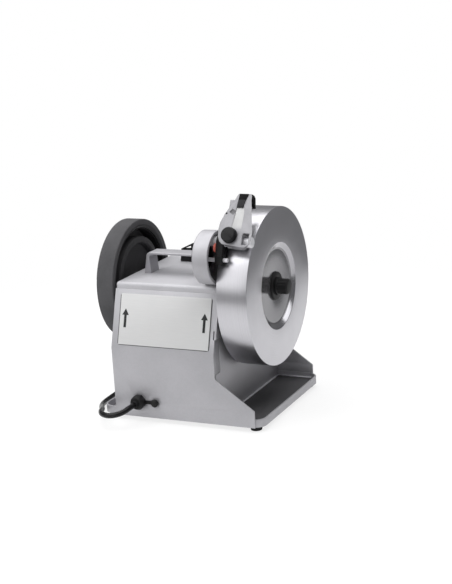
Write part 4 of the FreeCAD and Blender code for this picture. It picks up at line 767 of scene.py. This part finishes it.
# Floor, lamps and surroundings
def backdrop_material():
    """White to the camera and, in part, in reflections; near the object it keeps the shadow."""
    near, white_from, mirrored_to = 0.3, 0.7, 0.72
    white_near, mirrored_share, glow_strength = 0.68, 0.5, 1.12
    finish = Finish("backdrop", roughness=0.9, Base_Color=(0.80, 0.80, 0.80, 1))
    rays = finish.node("ShaderNodeLightPath", output=None).outputs
    seen = Value(finish, rays["Is Camera Ray"])
    mirrored = Value(finish, rays["Is Glossy Ray"]) + Value(finish, rays["Is Transmission Ray"])
    distance = (finish.x ** 2 + finish.y ** 2) ** 0.5
    away = finish.step(distance, near, white_from)
    close = 1 - finish.step(distance, near, mirrored_to)
    glow = finish.node("ShaderNodeEmission", inputs={"Strength": glow_strength})
    share = seen * (white_near + away * (1 - white_near)) + mirrored * close * mirrored_share
    lit = Value(finish, finish.shader.outputs[0])
    both = finish.node("ShaderNodeMixShader", inputs={0: share, 1: lit, 2: glow})
    finish.tree.links.new(both.socket, finish.tree.nodes["Material Output"].inputs["Surface"])
    return finish.material


def make_floor():
    floor_radius, floor_gap = 0.75, 0.0002
    bpy.ops.object.select_all(action="DESELECT")
    bpy.ops.mesh.primitive_circle_add(vertices=96, radius=floor_radius, fill_type="NGON",
                                      location=(0, 0, bench_height - floor_gap))
    floor = bpy.context.object
    floor.name = "floor"
    floor.data.materials.append(backdrop_material())


def make_world():
    """A dim even surround, white to the camera and partly white in reflections."""
    surround_strength, mirrored_share = 0.17, 0.05
    world = bpy.data.worlds.new("studio")
    bpy.context.scene.world = world
    world.use_nodes = True
    tree = world.node_tree
    plain = tree.nodes["Background"]
    plain.inputs["Color"].default_value = (0.97, 0.98, 1.0, 1)
    plain.inputs["Strength"].default_value = surround_strength
    white = tree.nodes.new("ShaderNodeBackground")
    white.inputs["Color"].default_value = (1, 1, 1, 1)
    path = tree.nodes.new("ShaderNodeLightPath")
    share = tree.nodes.new("ShaderNodeMath")
    share.operation = "MULTIPLY_ADD"
    share.inputs[1].default_value = mirrored_share
    tree.links.new(path.outputs["Is Glossy Ray"], share.inputs[0])
    tree.links.new(path.outputs["Is Camera Ray"], share.inputs[2])
    both = tree.nodes.new("ShaderNodeMixShader")
    tree.links.new(share.outputs[0], both.inputs[0])
    tree.links.new(plain.outputs[0], both.inputs[1])
    tree.links.new(white.outputs[0], both.inputs[2])
    tree.links.new(both.outputs[0], tree.nodes["World Output"].inputs["Surface"])


def area_light(name, place, target, size, power):
    data = bpy.data.lights.new(name, "AREA")
    data.shape = "RECTANGLE"
    data.size, data.size_y = size
    data.energy = power
    lamp = bpy.data.objects.new(name, data)
    bpy.context.scene.collection.objects.link(lamp)
    put(lamp, place, Vector(target) - Vector(place), front="-Z")


# The nodes whose edges are rounded, and how far
edge_widths = {
    "base_tray": 0.0007, "front_panel": 0.0008, "rear_panel": 0.0008, "top_cover": 0.0006,
    "left_side_wall": 0.0005, "right_side_wall": 0.0005, "tray_mat": 0.0004, "rubber_feet": 0.0006,
    "carry_handle": 0.0003, "cord_gland": 0.0004, "strain_relief": 0.0002, "gland_strap": 0.0004,
    "switch_housing": 0.0004, "switch_rocker": 0.0006, "drive_wheel": 0.0008, "inner_flange": 0.0004,
    "flange_washer": 0.0003, "wheel_knob": 0.0004, "hub_nut": 0.0004, "friction_ring": 0.0003,
    "guide_bracket": 0.0007, "dial_drum": 0.0004, "guide_arm": 0.0006, "arm_pointer": 0.0003,
    "front_jaw": 0.0005, "front_pad": 0.0004, "rear_jaw": 0.0005, "rear_pad": 0.0004, "lock_knob": 0.0004,
    "guide_rod": 0.0002, "link_rod": 0.0002, "rod_end_cap": 0.0002, "plug_body": 0.0012,
    "plug_pins": 0.0003, "name_plate": 0.0002, "housing_screws": 0.0003}

# The pieces
make_camera()
cord = mains_cord()
grinding_wheel()
honing_wheel()
lock_knob_rib()
tray_seam()
for node, width in edge_widths.items():
    finished(node, width)
cut_screw_recesses(bpy.data.objects["housing_screws_finished"])

# Every node's own finish, which shows where no piece stands for the node
for node, slot in slot_of.items():
    holder = frame["nodes"][node]
    holder.data.materials.clear()
    holder.data.materials.append(own_finish.get(node, materials[slot]))

# The studio
make_floor()
make_world()
area_light("key", (-1.0, -1.5, 1.2), (0, 0, 0.12), (2.4, 2.0), 20)
area_light("side", (1.58, 0.98, 0.71), (0.1, 0, 0.16), (1.0, 0.5), 3.2)
area_light("top", (-0.3, 0.0, 1.9), (0, 0, 0.1), (3.0, 3.0), 62)
bpy.context.scene.view_settings.view_transform = "Standard"
